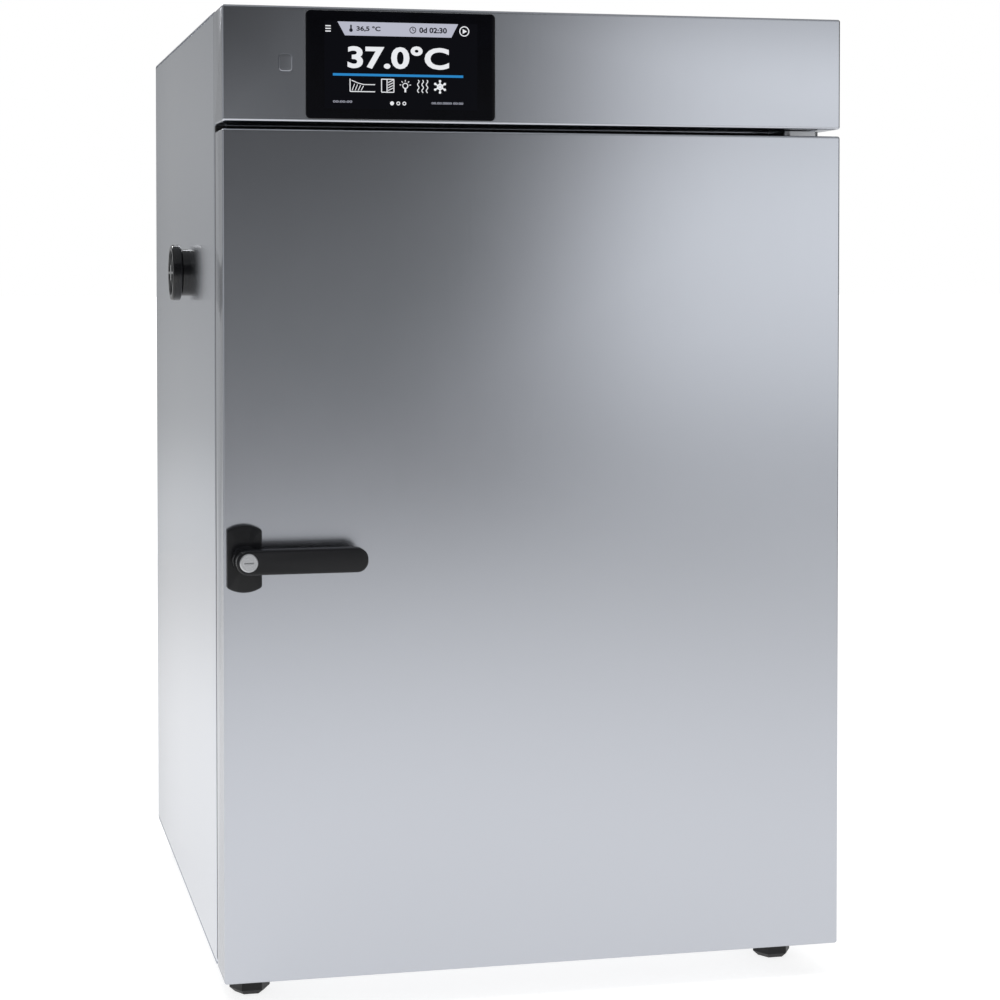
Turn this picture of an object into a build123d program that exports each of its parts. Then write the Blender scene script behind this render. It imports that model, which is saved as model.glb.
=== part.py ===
from build123d import *
import math
import os

# Laboratory drying oven, bench-top, stainless steel, with one door hinged on the right.
# Millimetres. +Z is up, the door faces -Y, and the origin is on the floor under the
# middle of the whole object, handle, port cap and rear spacers included.

os.makedirs("parts", exist_ok=True)

# Cabinet
CABINET_WIDTH = 640.0
CABINET_DEPTH = 732.0
SHEET = 1.5
EDGE_RADIUS = 2.5
FLANGE = 12.0
SEAT_GAP = 0.3
RUN_GAP = 0.05

# Door, gasket and control box
DOOR_HEIGHT = 841.5
DOOR_THICKNESS = 62.0
GASKET_SPACE = 10.0
CONTROL_GAP = 7.0
GASKET_MARGIN = 26.0
GASKET_WIDTH = 13.0
GASKET_BULB = 3.0
PAD_MARGIN = 14.0
PAD_RISE = 14.0
PAD_EDGE = 4.0

# Chamber and the walls round it
SIDE_WALL = 70.0
CHAMBER_SILL = 75.0
CHAMBER_HEAD = 76.5
CHAMBER_RADIUS = 18.0
LINER_SHEET = 1.2
LINER_FLANGE = 10.0
REAR_INSULATION = 65.0

# Hinge
PIVOT_INSET = 21.0
PIVOT_DEPTH = 30.0
PIN_RADIUS = 3.0
PIN_LENGTH = 34.0
BRACKET_PLATE = 5.0
BRACKET_LEG = 3.0
BRACKET_LEG_HEIGHT = 40.0
BRACKET_NOSE = 7.0
BRACKET_WEB = 20.0
UPPER_REACH = 32.0
LOWER_REACH = 18.0
LOWER_RISE = 2.0
BUSH_RADIUS = 5.5
BUSH_HEAD_RADIUS = 7.0
BUSH_HEAD = 1.0
HINGE_BLOCK_HEIGHT = 32.0
HINGE_BLOCK_WIDTH = 55.0
REBATE_FRONT = 3.0
REBATE_SIDE = 8.0

# Handle and latch
HANDLE_INSET = 19.7
PLATE_WIDTH = 34.4
PLATE_HEIGHT = 66.5
PLATE_SHOULDER = 56.0
PLATE_THICKNESS = 8.0
PLATE_CORNER = 3.0
HUB_RADIUS = 13.5
LEVER_FACE = 42.0
LEVER_THICKNESS = 14.0
LEVER_HALF_HEIGHT = 12.0
LEVER_REACH = 117.0
LEVER_END_RADIUS = 11.0
LEVER_EDGE = 1.8
LOCK_RADIUS = 9.0
LOCK_DEPTH = 16.0
LOCK_PROUD = 0.8
KEYWAY_LENGTH = 9.0
KEYWAY_WIDTH = 1.4
KEYWAY_DEPTH = 3.0
SPINDLE_RADIUS = 5.0
SPINDLE_SEAT = 12.0
SPINDLE_GAP = 1.0
CATCH_RADIUS = 18.0
CATCH_WIDTH = 8.0
CATCH_PLATE = 3.0
CATCH_GAP = 2.0
CATCH_REACH = 10.0
CATCH_DEPTH = 20.0
CATCH_ROOM = 4.0
CATCH_WALL = 2.0
CASE_WIDTH = 34.0
CASE_HEIGHT = 70.0

# Control panel
GLASS_LEFT = 82.2
GLASS_WIDTH = 190.4
GLASS_HEIGHT = 106.3
GLASS_PROUD = 1.0
GLASS_CORNER = 4.5
GLASS_ABOVE_EDGE = 3.5
GLASS_BELOW_TOP = 3.7
MODULE_EDGE = 0.9
MODULE_SIDE = 5.0
MODULE_DEPTH = 13.0
BUTTON_INSET = 62.0
BUTTON_WIDTH = 13.0
BUTTON_HEIGHT = 17.0
BUTTON_CORNER = 3.5
BUTTON_PROUD = 1.6
BUTTON_ABOVE_EDGE = 58.0
BUTTON_TRAVEL = 1.5
BUTTON_LIP = 1.5
BUTTON_COLLAR = 1.2
SWITCH_DEPTH = 14.0
SWITCH_HEIGHT = 16.0
SWITCH_LEG = 2.5
STEM_RADIUS = 2.0
STEM_LENGTH = 9.0

# Access port on the left side
PORT_DEPTH = 332.0
PORT_DROP = 65.0
PORT_BORE = 15.0
PORT_TUBE = 18.0
PORT_FLANGE_RADIUS = 26.0
PORT_FLANGE = 9.0
CAP_RADIUS = 31.0
CAP_THICKNESS = 10.5
CAP_PLUG = 12.0
CAP_RECESS = 2.0
CAP_RIM = 6.0
CAP_BOSS = 9.0
CAP_RIBS = 8
CAP_RIB_WIDTH = 2.5
CAP_EDGE = 2.0

# Feet
FOOT_HEIGHT = 37.0
FOOT_ACROSS_FLATS = 36.0
FOOT_CHAMFER = 5.0
FOOT_SIDE_INSET = 37.0
FOOT_FRONT_INSET = 100.0
FOOT_REAR_INSET = 60.0
STUD_RADIUS = 5.0
STUD_LENGTH = 14.0
NUT_ACROSS_FLATS = 17.0
NUT_HEIGHT = 8.0
NUT_ROOM = 12.0

# Shelves
SHELF_LEVELS = (4, -3)
SLOT_PITCH = 50.0
FIRST_SLOT = 60.0
UPRIGHT_WIDTH = 22.0
UPRIGHT_DEPTH = 9.0
UPRIGHT_SHEET = 1.2
UPRIGHT_INSET = 70.0
UPRIGHT_END = 22.0
SLOT_WIDTH = 12.0
SLOT_HEIGHT = 5.0
RUNNER_SHEET = 2.0
RUNNER_HEIGHT = 16.0
RUNNER_LEDGE = 15.0
RUNNER_STOP = 9.0
RUNNER_MARGIN = 8.0
HOOK_LENGTH = 5.0
SHELF_PLAY = 22.0
SHELF_SIDE_PLAY = 3.0
FRAME_ROD = 3.0
CROSS_ROD = 2.5
GRID_WIRE = 1.5
GRID_SINK = 0.4
GRID_PITCH = 30.0
ROD_CORNER = 12.0

# Air circulation
BAFFLE_DEPTH = 45.0
BAFFLE_MARGIN = 20.0
BAFFLE_RADIUS = 5.0
FAN_RADIUS = 85.0
FAN_EYE = 42.0
FAN_WIDTH = 24.0
FAN_PLATE = 1.5
FAN_BACK_GAP = 7.0
FAN_BLADES = 12
BLADE_SHEET = 1.5
BLADE_LEAN = 35.0
HUB_BOSS_RADIUS = 11.0
SHAFT_RADIUS = 4.0
SHAFT_HOLE_GAP = 3.0
MOTOR_RADIUS = 42.0
MOTOR_LENGTH = 56.0
MOTOR_STANDOFF = 18.0
MOTOR_CLEARANCE = 13.8
MOTOR_EDGE = 6.0
MOTOR_GROOVES = 4
MOTOR_SEAT = 30.0
MOUNT_WIDTH = 128.0
MOUNT_BAND = 26.0
MOUNT_SHEET = 2.0
MOUNT_FOOT = 14.0
INTAKE_SLOTS = 18
INTAKE_INNER = 16.0
INTAKE_OUTER = 62.0
INTAKE_WIDTH = 4.5
OUTLET_COUNT = 9
OUTLET_WIDTH = 7.0
OUTLET_HEIGHT = 38.0
OUTLET_END = 58.0
OUTLET_INSET = 18.0
HEATER_RADIUS = 108.0
HEATER_TUBE = 4.0
HEATER_ELBOW = 4.8
HEATER_GAP_ANGLE = 24.0
HEATER_TAIL = 12.0
PROBE_RADIUS = 3.0
PROBE_PITCH = 24.0
PROBE_SIDE = 120.0
PROBE_DROP = 130.0
PROBE_TIP = 30.0
PROBE_TAIL = 14.0

# Air vent at the rear
VENT_INSET = 120.0
VENT_DROP = 40.0
VENT_RADIUS = 16.0
SPIGOT_RADIUS = 17.0
VENT_BORE = 14.0
VENT_PROUD = 22.0
DAMPER_THICKNESS = 2.0
DAMPER_GAP = 0.4
DAMPER_BACK = 46.0
AXLE_RADIUS = 2.0
AXLE_STUB = 10.0
ACTUATOR_WIDTH = 34.0
ACTUATOR_DEPTH = 40.0
ACTUATOR_HEIGHT = 26.0

# Rear services
SPACER_RADIUS = 15.0
SPACER_LENGTH = 25.0
SPACER_INSET = 60.0
SPACER_SPIGOT = 6.0
SPACER_TAIL = 4.0
INLET_INSET = 160.0
INLET_WIDTH = 30.0
INLET_HEIGHT = 56.0
INLET_FLANGE = 3.0
INLET_RIM = 2.5
INLET_DEPTH = 30.0
SOCKET_WIDTH = 24.0
SOCKET_HEIGHT = 17.0
SOCKET_DEPTH = 18.0
SOCKET_DROP = 13.0
DRAWER_WIDTH = 20.0
DRAWER_HEIGHT = 14.0
DRAWER_RISE = 14.0
DRAWER_DEPTH = 20.0
DRAWER_LIP = 1.5
PIN_BLADE = 4.0
PIN_PITCH = 7.0
PIN_STEP = 4.0
DATA_SPACE = 70.0
DATA_WIDTH = 18.0
DATA_HEIGHT = 16.0
DATA_DEPTH = 22.0
DATA_WALL = 2.0
LOUVRE_COUNT = 9
LOUVRE_LENGTH = 130.0
LOUVRE_HEIGHT = 5.0
LOUVRE_PITCH = 13.0

# Electronics
CABLE_SLOT = 80.0
BOARD_WIDTH = 210.0
BOARD_DEPTH = 150.0
BOARD_THICKNESS = 1.6
BOARD_POST = 8.0
BOARD_INSET = 90.0
SUPPLY_WIDTH = 98.0
SUPPLY_DEPTH = 160.0
SUPPLY_HEIGHT = 40.0
RELAY_WIDTH = 60.0
RELAY_DEPTH = 90.0
RELAY_FIN_HEIGHT = 34.0
RELAY_FINS = 7
RELAY_BASE = 5.0
SCREW_RADIUS = 2.0
SCREW_HEAD_RADIUS = 4.0
SCREW_HEAD = 2.2
SCREW_LENGTH = 8.0
SCREW_END = 60.0
REAR_SCREWS = 5

# Planes that the pieces share
PORT_PROUD = PORT_FLANGE + CAP_THICKNESS
FRONT_PROUD = LEVER_FACE + LOCK_PROUD
LEFT = (PORT_PROUD - CABINET_WIDTH) / 2
RIGHT = LEFT + CABINET_WIDTH
FRONT = (FRONT_PROUD - CABINET_DEPTH - SPACER_LENGTH) / 2
REAR = FRONT + CABINET_DEPTH
BASE = FOOT_HEIGHT
MIDDLE = (LEFT + RIGHT) / 2
DOOR_TOP = BASE + DOOR_HEIGHT
DOOR_BACK = FRONT + DOOR_THICKNESS
CONTROL_BASE = DOOR_TOP + CONTROL_GAP
TOP = CONTROL_BASE + GLASS_ABOVE_EDGE + GLASS_HEIGHT + GLASS_BELOW_TOP
BODY = DOOR_BACK + GASKET_SPACE
FRAME_FACE = BODY + SHEET
FRAME_BACK = FRAME_FACE + SHEET
FRAME_TOP = CONTROL_BASE + FLANGE
FRAME_FOOT = BASE + SHEET + EDGE_RADIUS
FLOOR_TOP = FRAME_FOOT + SHEET
TRAY_TOP = FRAME_TOP - SHEET - SEAT_GAP
TRAY_BASE = DOOR_TOP + SHEET
TRAY_FLOOR = TRAY_BASE + SHEET
INNER_LEFT = LEFT + SHEET
INNER_RIGHT = RIGHT - SHEET
INNER_REAR = REAR - SHEET
BULKHEAD_BACK = INNER_REAR - MOTOR_CLEARANCE - MOTOR_LENGTH - MOTOR_STANDOFF
BULKHEAD = BULKHEAD_BACK - SHEET
LINER_BACK = BULKHEAD - REAR_INSULATION
CHAMBER_LEFT = LEFT + SIDE_WALL
CHAMBER_RIGHT = RIGHT - SIDE_WALL
CHAMBER_WIDTH = CHAMBER_RIGHT - CHAMBER_LEFT
CHAMBER_BASE = BASE + CHAMBER_SILL
CHAMBER_TOP = DOOR_TOP - CHAMBER_HEAD
CHAMBER_HEIGHT = CHAMBER_TOP - CHAMBER_BASE
CHAMBER_CENTRE = (CHAMBER_BASE + CHAMBER_TOP) / 2
CHAMBER_BACK = LINER_BACK - LINER_SHEET
CHAMBER_DEPTH = CHAMBER_BACK - FRAME_BACK
BAFFLE_FACE = CHAMBER_BACK - BAFFLE_DEPTH
PIVOT_X = RIGHT - PIVOT_INSET
PIVOT_Y = FRONT + PIVOT_DEPTH
HANDLE_X = LEFT + HANDLE_INSET
HANDLE_Z = (BASE + DOOR_TOP) / 2
PORT_Y = FRONT + PORT_DEPTH
PORT_Z = CHAMBER_TOP - PORT_DROP
FAN_Z = CHAMBER_CENTRE


def block(x, y, z, mode=Mode.ADD):
    """A box given by its low and high limit along each axis."""
    with Locations(((x[0] + x[1]) / 2, (y[0] + y[1]) / 2, (z[0] + z[1]) / 2)):
        Box(x[1] - x[0], y[1] - y[0], z[1] - z[0], mode=mode)


def rod_y(x, z, radius, y, mode=Mode.ADD):
    """A round bar or hole along Y between two limits."""
    with Locations((x, (y[0] + y[1]) / 2, z)):
        Cylinder(radius, y[1] - y[0], rotation=(90, 0, 0), mode=mode)


def rod_x(y, z, radius, x, mode=Mode.ADD):
    """A round bar or hole along X between two limits."""
    with Locations(((x[0] + x[1]) / 2, y, z)):
        Cylinder(radius, x[1] - x[0], rotation=(0, 90, 0), mode=mode)


def rod_z(x, y, radius, z, mode=Mode.ADD):
    """A round bar or hole along Z between two limits."""
    with Locations((x, y, (z[0] + z[1]) / 2)):
        Cylinder(radius, z[1] - z[0], mode=mode)


def facing(y):
    """The upright plane at a depth y, with X across and Z up, looking towards -Y."""
    return Plane.XZ.offset(-y)


def rounded_slab(x, z, y, width, height, depth, radius, mode=Mode.ADD):
    """An upright slab with rounded corners, from depth y towards the rear."""
    with BuildSketch(facing(y)) as outline:
        with Locations((x, z)):
            RectangleRounded(width, height, radius)
    extrude(outline.sketch, amount=-depth, mode=mode)


# Places of the screws that hold the rear panel on the side panels.
rear_screw_places = [
    (x, BASE + SCREW_END + step * (TOP - BASE - 2 * SCREW_END) / (REAR_SCREWS - 1))
    for x in (LEFT + FLANGE / 2, RIGHT - FLANGE / 2)
    for step in range(REAR_SCREWS)
]


def screw_holes(y):
    """Clearance holes for the rear screws through the sheet between two depths."""
    for screw_x, screw_z in rear_screw_places:
        rod_y(screw_x, screw_z, SCREW_RADIUS + SEAT_GAP, y, Mode.SUBTRACT)


# Side panels: trays of folded sheet, open towards the inside of the cabinet.
def folded_side(outside, inside):
    low, high = min(outside, inside), max(outside, inside)
    with BuildPart() as panel:
        block((low, high), (BODY, INNER_REAR), (BASE + SHEET, TOP - SHEET))
        by_side = panel.faces().sort_by(Axis.X, reverse=outside > inside)
        edges = by_side[0].edges() + panel.edges().filter_by(Axis.X)
        fillet(edges, EDGE_RADIUS)
        opening = panel.faces().sort_by(Axis.X, reverse=outside > inside)[-1]
        offset(amount=-SHEET, openings=opening)
        screw_holes((INNER_REAR - 2 * SHEET, INNER_REAR))
    return panel


with BuildPart() as side_panel_left:
    add(folded_side(LEFT, LEFT + FLANGE).part)
    rod_x(PORT_Y, PORT_Z, PORT_TUBE + SEAT_GAP, (LEFT - 1, INNER_LEFT + 1), Mode.SUBTRACT)
side_panel_left.part.label = "side_panel_left"
export_step(side_panel_left.part, "parts/side_panel_left.step")

side_panel_right = folded_side(RIGHT, RIGHT - FLANGE)
side_panel_right.part.label = "side_panel_right"
export_step(side_panel_right.part, "parts/side_panel_right.step")

# Top cover: a flat lid with a folded lip that drops inside the side panels.
with BuildPart() as top_cover:
    block((LEFT, RIGHT), (BODY, INNER_REAR), (TOP - SHEET, TOP))
    fillet(top_cover.edges().filter_by(Axis.Z), EDGE_RADIUS)
    fillet(top_cover.faces().sort_by(Axis.Z)[-1].edges(), SHEET / 2)
    lip_top = TOP - SHEET
    for lip_x in (LEFT + FLANGE + SEAT_GAP, RIGHT - FLANGE - SEAT_GAP - SHEET):
        lip_y = (BODY + FLANGE, INNER_REAR - FLANGE)
        block((lip_x, lip_x + SHEET), lip_y, (lip_top - FLANGE, lip_top))
top_cover.part.label = "top_cover"
export_step(top_cover.part, "parts/top_cover.step")

# Base pan: closes the cabinet below, with lips against the side panels and foot holes.
foot_places = [
    (LEFT + FOOT_SIDE_INSET, FRONT + FOOT_FRONT_INSET),
    (RIGHT - FOOT_SIDE_INSET, FRONT + FOOT_FRONT_INSET),
    (LEFT + FOOT_SIDE_INSET, REAR - FOOT_REAR_INSET),
    (RIGHT - FOOT_SIDE_INSET, REAR - FOOT_REAR_INSET),
]
with BuildPart() as base_pan:
    block((LEFT, RIGHT), (BODY, INNER_REAR), (BASE, BASE + SHEET))
    fillet(base_pan.edges().filter_by(Axis.Z), EDGE_RADIUS)
    fillet(base_pan.faces().sort_by(Axis.Z)[0].edges(), SHEET / 2)
    for foot_x, foot_y in foot_places:
        rod_z(foot_x, foot_y, STUD_RADIUS + SEAT_GAP, (BASE - 1, BASE + SHEET + 1), Mode.SUBTRACT)
base_pan.part.label = "base_pan"
export_step(base_pan.part, "parts/base_pan.step")

# Rear panel: a flat sheet with louvres and the cut-outs of the rear services.
VENT_X = CHAMBER_LEFT + VENT_INSET
VENT_Z = CHAMBER_TOP - VENT_DROP
INLET_X = RIGHT - INLET_INSET
INLET_Z = (CONTROL_BASE + TOP) / 2
DATA_X = INLET_X - DATA_SPACE
spacer_places = [(x, z) for z in (BASE + SPACER_INSET, TOP - SPACER_INSET)
                 for x in (LEFT + SPACER_INSET, RIGHT - SPACER_INSET)]
with BuildPart() as rear_panel:
    block((LEFT, RIGHT), (INNER_REAR, REAR), (BASE, TOP))
    fillet(rear_panel.edges().filter_by(Axis.Y), EDGE_RADIUS)
    through = (INNER_REAR - 1, REAR + 1)
    rod_y(VENT_X, VENT_Z, VENT_RADIUS + SEAT_GAP, through, Mode.SUBTRACT)
    for spacer_x, spacer_z in spacer_places:
        rod_y(spacer_x, spacer_z, SPACER_SPIGOT + SEAT_GAP, through, Mode.SUBTRACT)
    hole = (INLET_WIDTH + 2 * SEAT_GAP, INLET_HEIGHT + 2 * SEAT_GAP)
    block(
        (INLET_X - hole[0] / 2, INLET_X + hole[0] / 2),
        through,
        (INLET_Z - hole[1] / 2, INLET_Z + hole[1] / 2),
        Mode.SUBTRACT,
    )
    hole = (DATA_WIDTH + 2 * SEAT_GAP, DATA_HEIGHT + 2 * SEAT_GAP)
    block(
        (DATA_X - hole[0] / 2, DATA_X + hole[0] / 2),
        through,
        (INLET_Z - hole[1] / 2, INLET_Z + hole[1] / 2),
        Mode.SUBTRACT,
    )
    with BuildSketch(facing(REAR)):
        with Locations((MIDDLE, FAN_Z)):
            with GridLocations(LOUVRE_LENGTH * 1.2, LOUVRE_PITCH, 2, LOUVRE_COUNT):
                Rectangle(LOUVRE_LENGTH, LOUVRE_HEIGHT)
    extrude(amount=SHEET, mode=Mode.SUBTRACT)
    screw_holes((INNER_REAR, REAR))
rear_panel.part.label = "rear_panel"
export_step(rear_panel.part, "parts/rear_panel.step")

# Front frame: the face that the door seals on, with the chamber mouth and the catch slot.
CATCH_OUT = CATCH_RADIUS + CATCH_WIDTH / 2 + CATCH_ROOM
CATCH_IN = CATCH_WIDTH / 2 + CATCH_ROOM
catch_slot_x = (HANDLE_X - CATCH_IN, HANDLE_X + CATCH_OUT)
catch_slot_z = (HANDLE_Z - CATCH_IN, HANDLE_Z + CATCH_OUT)
FRAME_LEFT = LEFT + EDGE_RADIUS + SEAT_GAP
FRAME_RIGHT = RIGHT - EDGE_RADIUS - SEAT_GAP
with BuildPart() as front_frame:
    with BuildSketch(Plane.YZ.offset(FRAME_LEFT)):
        with BuildLine():
            Polyline(
                (FRAME_FACE + FLANGE, FRAME_TOP),
                (FRAME_FACE, FRAME_TOP),
                (FRAME_FACE, FRAME_FOOT),
                (FRAME_FACE + FLANGE, FRAME_FOOT),
            )
            offset(amount=SHEET, side=Side.LEFT)
        make_face()
    extrude(amount=FRAME_RIGHT - FRAME_LEFT)
    rounded_slab(
        MIDDLE, CHAMBER_CENTRE, FRAME_FACE - 1, CHAMBER_WIDTH, CHAMBER_HEIGHT,
        SHEET + 2, CHAMBER_RADIUS, Mode.SUBTRACT,
    )
    block(catch_slot_x, (FRAME_FACE - 1, FRAME_BACK + 1), catch_slot_z, Mode.SUBTRACT)
front_frame.part.label = "front_frame"
export_step(front_frame.part, "parts/front_frame.step")

# Chamber liner: a box of thin sheet with rounded corners and a flange behind the frame.
probe_places = [(MIDDLE + PROBE_SIDE + side * PROBE_PITCH, CHAMBER_TOP - PROBE_DROP) for side in (0, 1)]
heater_x = HEATER_RADIUS * math.sin(math.radians(HEATER_GAP_ANGLE / 2))
heater_z = FAN_Z - HEATER_RADIUS * math.cos(math.radians(HEATER_GAP_ANGLE / 2))
heater_places = [(MIDDLE - heater_x, heater_z), (MIDDLE + heater_x, heater_z)]
rear_holes = [(MIDDLE, FAN_Z, SHAFT_RADIUS + SHAFT_HOLE_GAP)]
rear_holes += [(VENT_X, VENT_Z, VENT_RADIUS + SEAT_GAP)]
rear_holes += [(x, z, HEATER_TUBE + SEAT_GAP) for x, z in heater_places]
rear_holes += [(x, z, PROBE_RADIUS + SEAT_GAP) for x, z in probe_places]
with BuildPart() as chamber_liner:
    rounded_slab(
        MIDDLE, CHAMBER_CENTRE, FRAME_BACK, CHAMBER_WIDTH + 2 * LINER_SHEET,
        CHAMBER_HEIGHT + 2 * LINER_SHEET, CHAMBER_DEPTH + LINER_SHEET, CHAMBER_RADIUS + LINER_SHEET,
    )
    offset(amount=-LINER_SHEET, openings=chamber_liner.faces().sort_by(Axis.Y)[0])
    with BuildSketch(facing(FRAME_BACK)):
        with Locations((MIDDLE, CHAMBER_CENTRE)):
            RectangleRounded(
                CHAMBER_WIDTH + 2 * LINER_FLANGE, CHAMBER_HEIGHT + 2 * LINER_FLANGE,
                CHAMBER_RADIUS + LINER_FLANGE,
            )
            RectangleRounded(CHAMBER_WIDTH, CHAMBER_HEIGHT, CHAMBER_RADIUS, mode=Mode.SUBTRACT)
    extrude(amount=-LINER_SHEET)
    for hole_x, hole_z, radius in rear_holes:
        rod_y(hole_x, hole_z, radius, (CHAMBER_BACK - 1, LINER_BACK + 1), Mode.SUBTRACT)
    port_wall = (CHAMBER_LEFT - LINER_SHEET - 1, CHAMBER_LEFT + 1)
    rod_x(PORT_Y, PORT_Z, PORT_TUBE + SEAT_GAP, port_wall, Mode.SUBTRACT)
chamber_liner.part.label = "chamber_liner"
export_step(chamber_liner.part, "parts/chamber_liner.step")

# Insulation: boards between the liner and the outer sheets, with room for what goes through.
LINER_FRONT = FRAME_BACK + LINER_SHEET
liner_x = (CHAMBER_LEFT - LINER_SHEET, CHAMBER_RIGHT + LINER_SHEET)
liner_z = (CHAMBER_BASE - LINER_SHEET, CHAMBER_TOP + LINER_SHEET)
KEEPER_BACK = FRAME_BACK + CATCH_DEPTH
keeper_x = (catch_slot_x[0] - CATCH_WALL, catch_slot_x[1] + CATCH_WALL)
keeper_z = (catch_slot_z[0] - CATCH_WALL, catch_slot_z[1] + CATCH_WALL)
BOARD_FRONT = FRAME_FACE + FLANGE + SEAT_GAP
with BuildPart() as insulation_left:
    block((INNER_LEFT, liner_x[0]), (LINER_FRONT, BULKHEAD), (FLOOR_TOP, TRAY_BASE))
    rod_x(PORT_Y, PORT_Z, PORT_TUBE + SEAT_GAP, (LEFT, CHAMBER_LEFT), Mode.SUBTRACT)
    room = CATCH_WALL + SEAT_GAP
    block(
        (LEFT, catch_slot_x[1] + room),
        (FRAME_BACK, KEEPER_BACK + room),
        (catch_slot_z[0] - room, catch_slot_z[1] + room),
        Mode.SUBTRACT,
    )
    rod_z(*foot_places[0], NUT_ROOM, (BASE, BASE + SHEET + STUD_LENGTH), Mode.SUBTRACT)
with BuildPart() as insulation_right:
    block((liner_x[1], INNER_RIGHT), (LINER_FRONT, BULKHEAD), (FLOOR_TOP, TRAY_BASE))
    rod_z(*foot_places[1], NUT_ROOM, (BASE, BASE + SHEET + STUD_LENGTH), Mode.SUBTRACT)
with BuildPart() as insulation_floor:
    block(liner_x, (BOARD_FRONT, BULKHEAD), (FLOOR_TOP, liner_z[0]))
    for foot_x, foot_y in foot_places[:2]:
        rod_z(foot_x, foot_y, NUT_ROOM, (BASE, BASE + SHEET + STUD_LENGTH), Mode.SUBTRACT)
with BuildPart() as insulation_roof:
    block(liner_x, (LINER_FRONT, BULKHEAD), (liner_z[1], TRAY_BASE))
with BuildPart() as insulation_rear:
    block(liner_x, (LINER_BACK, BULKHEAD), liner_z)
    for hole_x, hole_z, radius in rear_holes:
        rod_y(hole_x, hole_z, radius + SEAT_GAP, (LINER_BACK - 1, BULKHEAD + 1), Mode.SUBTRACT)
boards = [insulation_left, insulation_right, insulation_floor, insulation_roof, insulation_rear]
insulation_boards = Compound(label="insulation_boards", children=[board.part for board in boards])
export_step(insulation_boards, "parts/insulation_boards.step")

# Bulkhead: closes the insulation at the rear and carries the motor and the vent actuator.
with BuildPart() as bulkhead:
    with BuildSketch(Plane.XY.offset(FLOOR_TOP)):
        with BuildLine():
            Polyline(
                (INNER_LEFT, BULKHEAD + FLANGE),
                (INNER_LEFT, BULKHEAD),
                (INNER_RIGHT, BULKHEAD),
                (INNER_RIGHT, BULKHEAD + FLANGE),
            )
            offset(amount=SHEET, side=Side.LEFT)
        make_face()
    extrude(amount=TRAY_BASE - FLOOR_TOP)
    for hole_x, hole_z, radius in rear_holes:
        rod_y(hole_x, hole_z, radius, (BULKHEAD - 1, BULKHEAD_BACK + 1), Mode.SUBTRACT)
bulkhead.part.label = "bulkhead"
export_step(bulkhead.part, "parts/bulkhead.step")

# Electronics tray: the floor of the control compartment, over the insulation.
TRAY_BACK = INNER_REAR - EDGE_RADIUS - SEAT_GAP
with BuildPart() as electronics_tray:
    block((INNER_LEFT, INNER_RIGHT), (FRAME_BACK, TRAY_BACK), (TRAY_BASE, TRAY_TOP))
    offset(amount=-SHEET, openings=electronics_tray.faces().sort_by(Axis.Z)[-1])
    with BuildSketch(Plane.XY.offset(TRAY_BASE)):
        with Locations((MIDDLE, (BULKHEAD_BACK + TRAY_BACK) / 2)):
            SlotOverall(CABLE_SLOT, CABLE_SLOT / 4)
    extrude(amount=SHEET, mode=Mode.SUBTRACT)
electronics_tray.part.label = "electronics_tray"
export_step(electronics_tray.part, "parts/electronics_tray.step")


# Hinge brackets: an angle on the front frame, with a plate that holds the pin.
def hinge_bracket(plate_z, leg_z, reach):
    nose_x = PIVOT_X + BRACKET_NOSE
    nose_y = PIVOT_Y - BRACKET_NOSE
    with BuildPart() as bracket:
        with BuildSketch(Plane.XY.offset(plate_z[0])) as outline:
            with BuildLine():
                FilletPolyline(
                    (PIVOT_X - reach, FRAME_FACE),
                    (PIVOT_X - reach, nose_y),
                    (nose_x, nose_y),
                    (nose_x, FRAME_FACE),
                    radius=BRACKET_NOSE,
                )
                Line((nose_x, FRAME_FACE), (PIVOT_X - reach, FRAME_FACE))
            make_face()
        extrude(outline.sketch, amount=plate_z[1] - plate_z[0])
        block((PIVOT_X - BRACKET_WEB, nose_x), (FRAME_FACE - BRACKET_LEG, FRAME_FACE), leg_z)
        rod_z(PIVOT_X, PIVOT_Y, PIN_RADIUS + RUN_GAP, plate_z, Mode.SUBTRACT)
    return bracket


HINGE_SPACE = (CONTROL_GAP - BRACKET_PLATE) / 2
upper_plate = (DOOR_TOP + HINGE_SPACE, DOOR_TOP + HINGE_SPACE + BRACKET_PLATE)
lower_plate = (BASE + LOWER_RISE, BASE + LOWER_RISE + BRACKET_PLATE)
REBATE_TOP = lower_plate[1] + BUSH_HEAD
upper_leg = (upper_plate[1] - BRACKET_LEG_HEIGHT, upper_plate[1])
lower_leg = (lower_plate[0], lower_plate[0] + BRACKET_LEG_HEIGHT)
hinge_bracket_upper = hinge_bracket(upper_plate, upper_leg, UPPER_REACH)
hinge_bracket_upper.part.label = "hinge_bracket_upper"
export_step(hinge_bracket_upper.part, "parts/hinge_bracket_upper.step")
hinge_bracket_lower = hinge_bracket(lower_plate, lower_leg, LOWER_REACH)
hinge_bracket_lower.part.label = "hinge_bracket_lower"
export_step(hinge_bracket_lower.part, "parts/hinge_bracket_lower.step")

# Hinge pins: fixed in the brackets, with the door's bushes running on them.
with BuildPart() as hinge_pins:
    rod_z(PIVOT_X, PIVOT_Y, PIN_RADIUS, (upper_plate[1] - PIN_LENGTH, upper_plate[1]))
    rod_z(PIVOT_X, PIVOT_Y, PIN_RADIUS, (lower_plate[0], lower_plate[0] + PIN_LENGTH))
    chamfer(hinge_pins.edges(), PIN_RADIUS / 6)
hinge_pins.part.label = "hinge_pins"
export_step(hinge_pins.part, "parts/hinge_pins.step")

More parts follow.
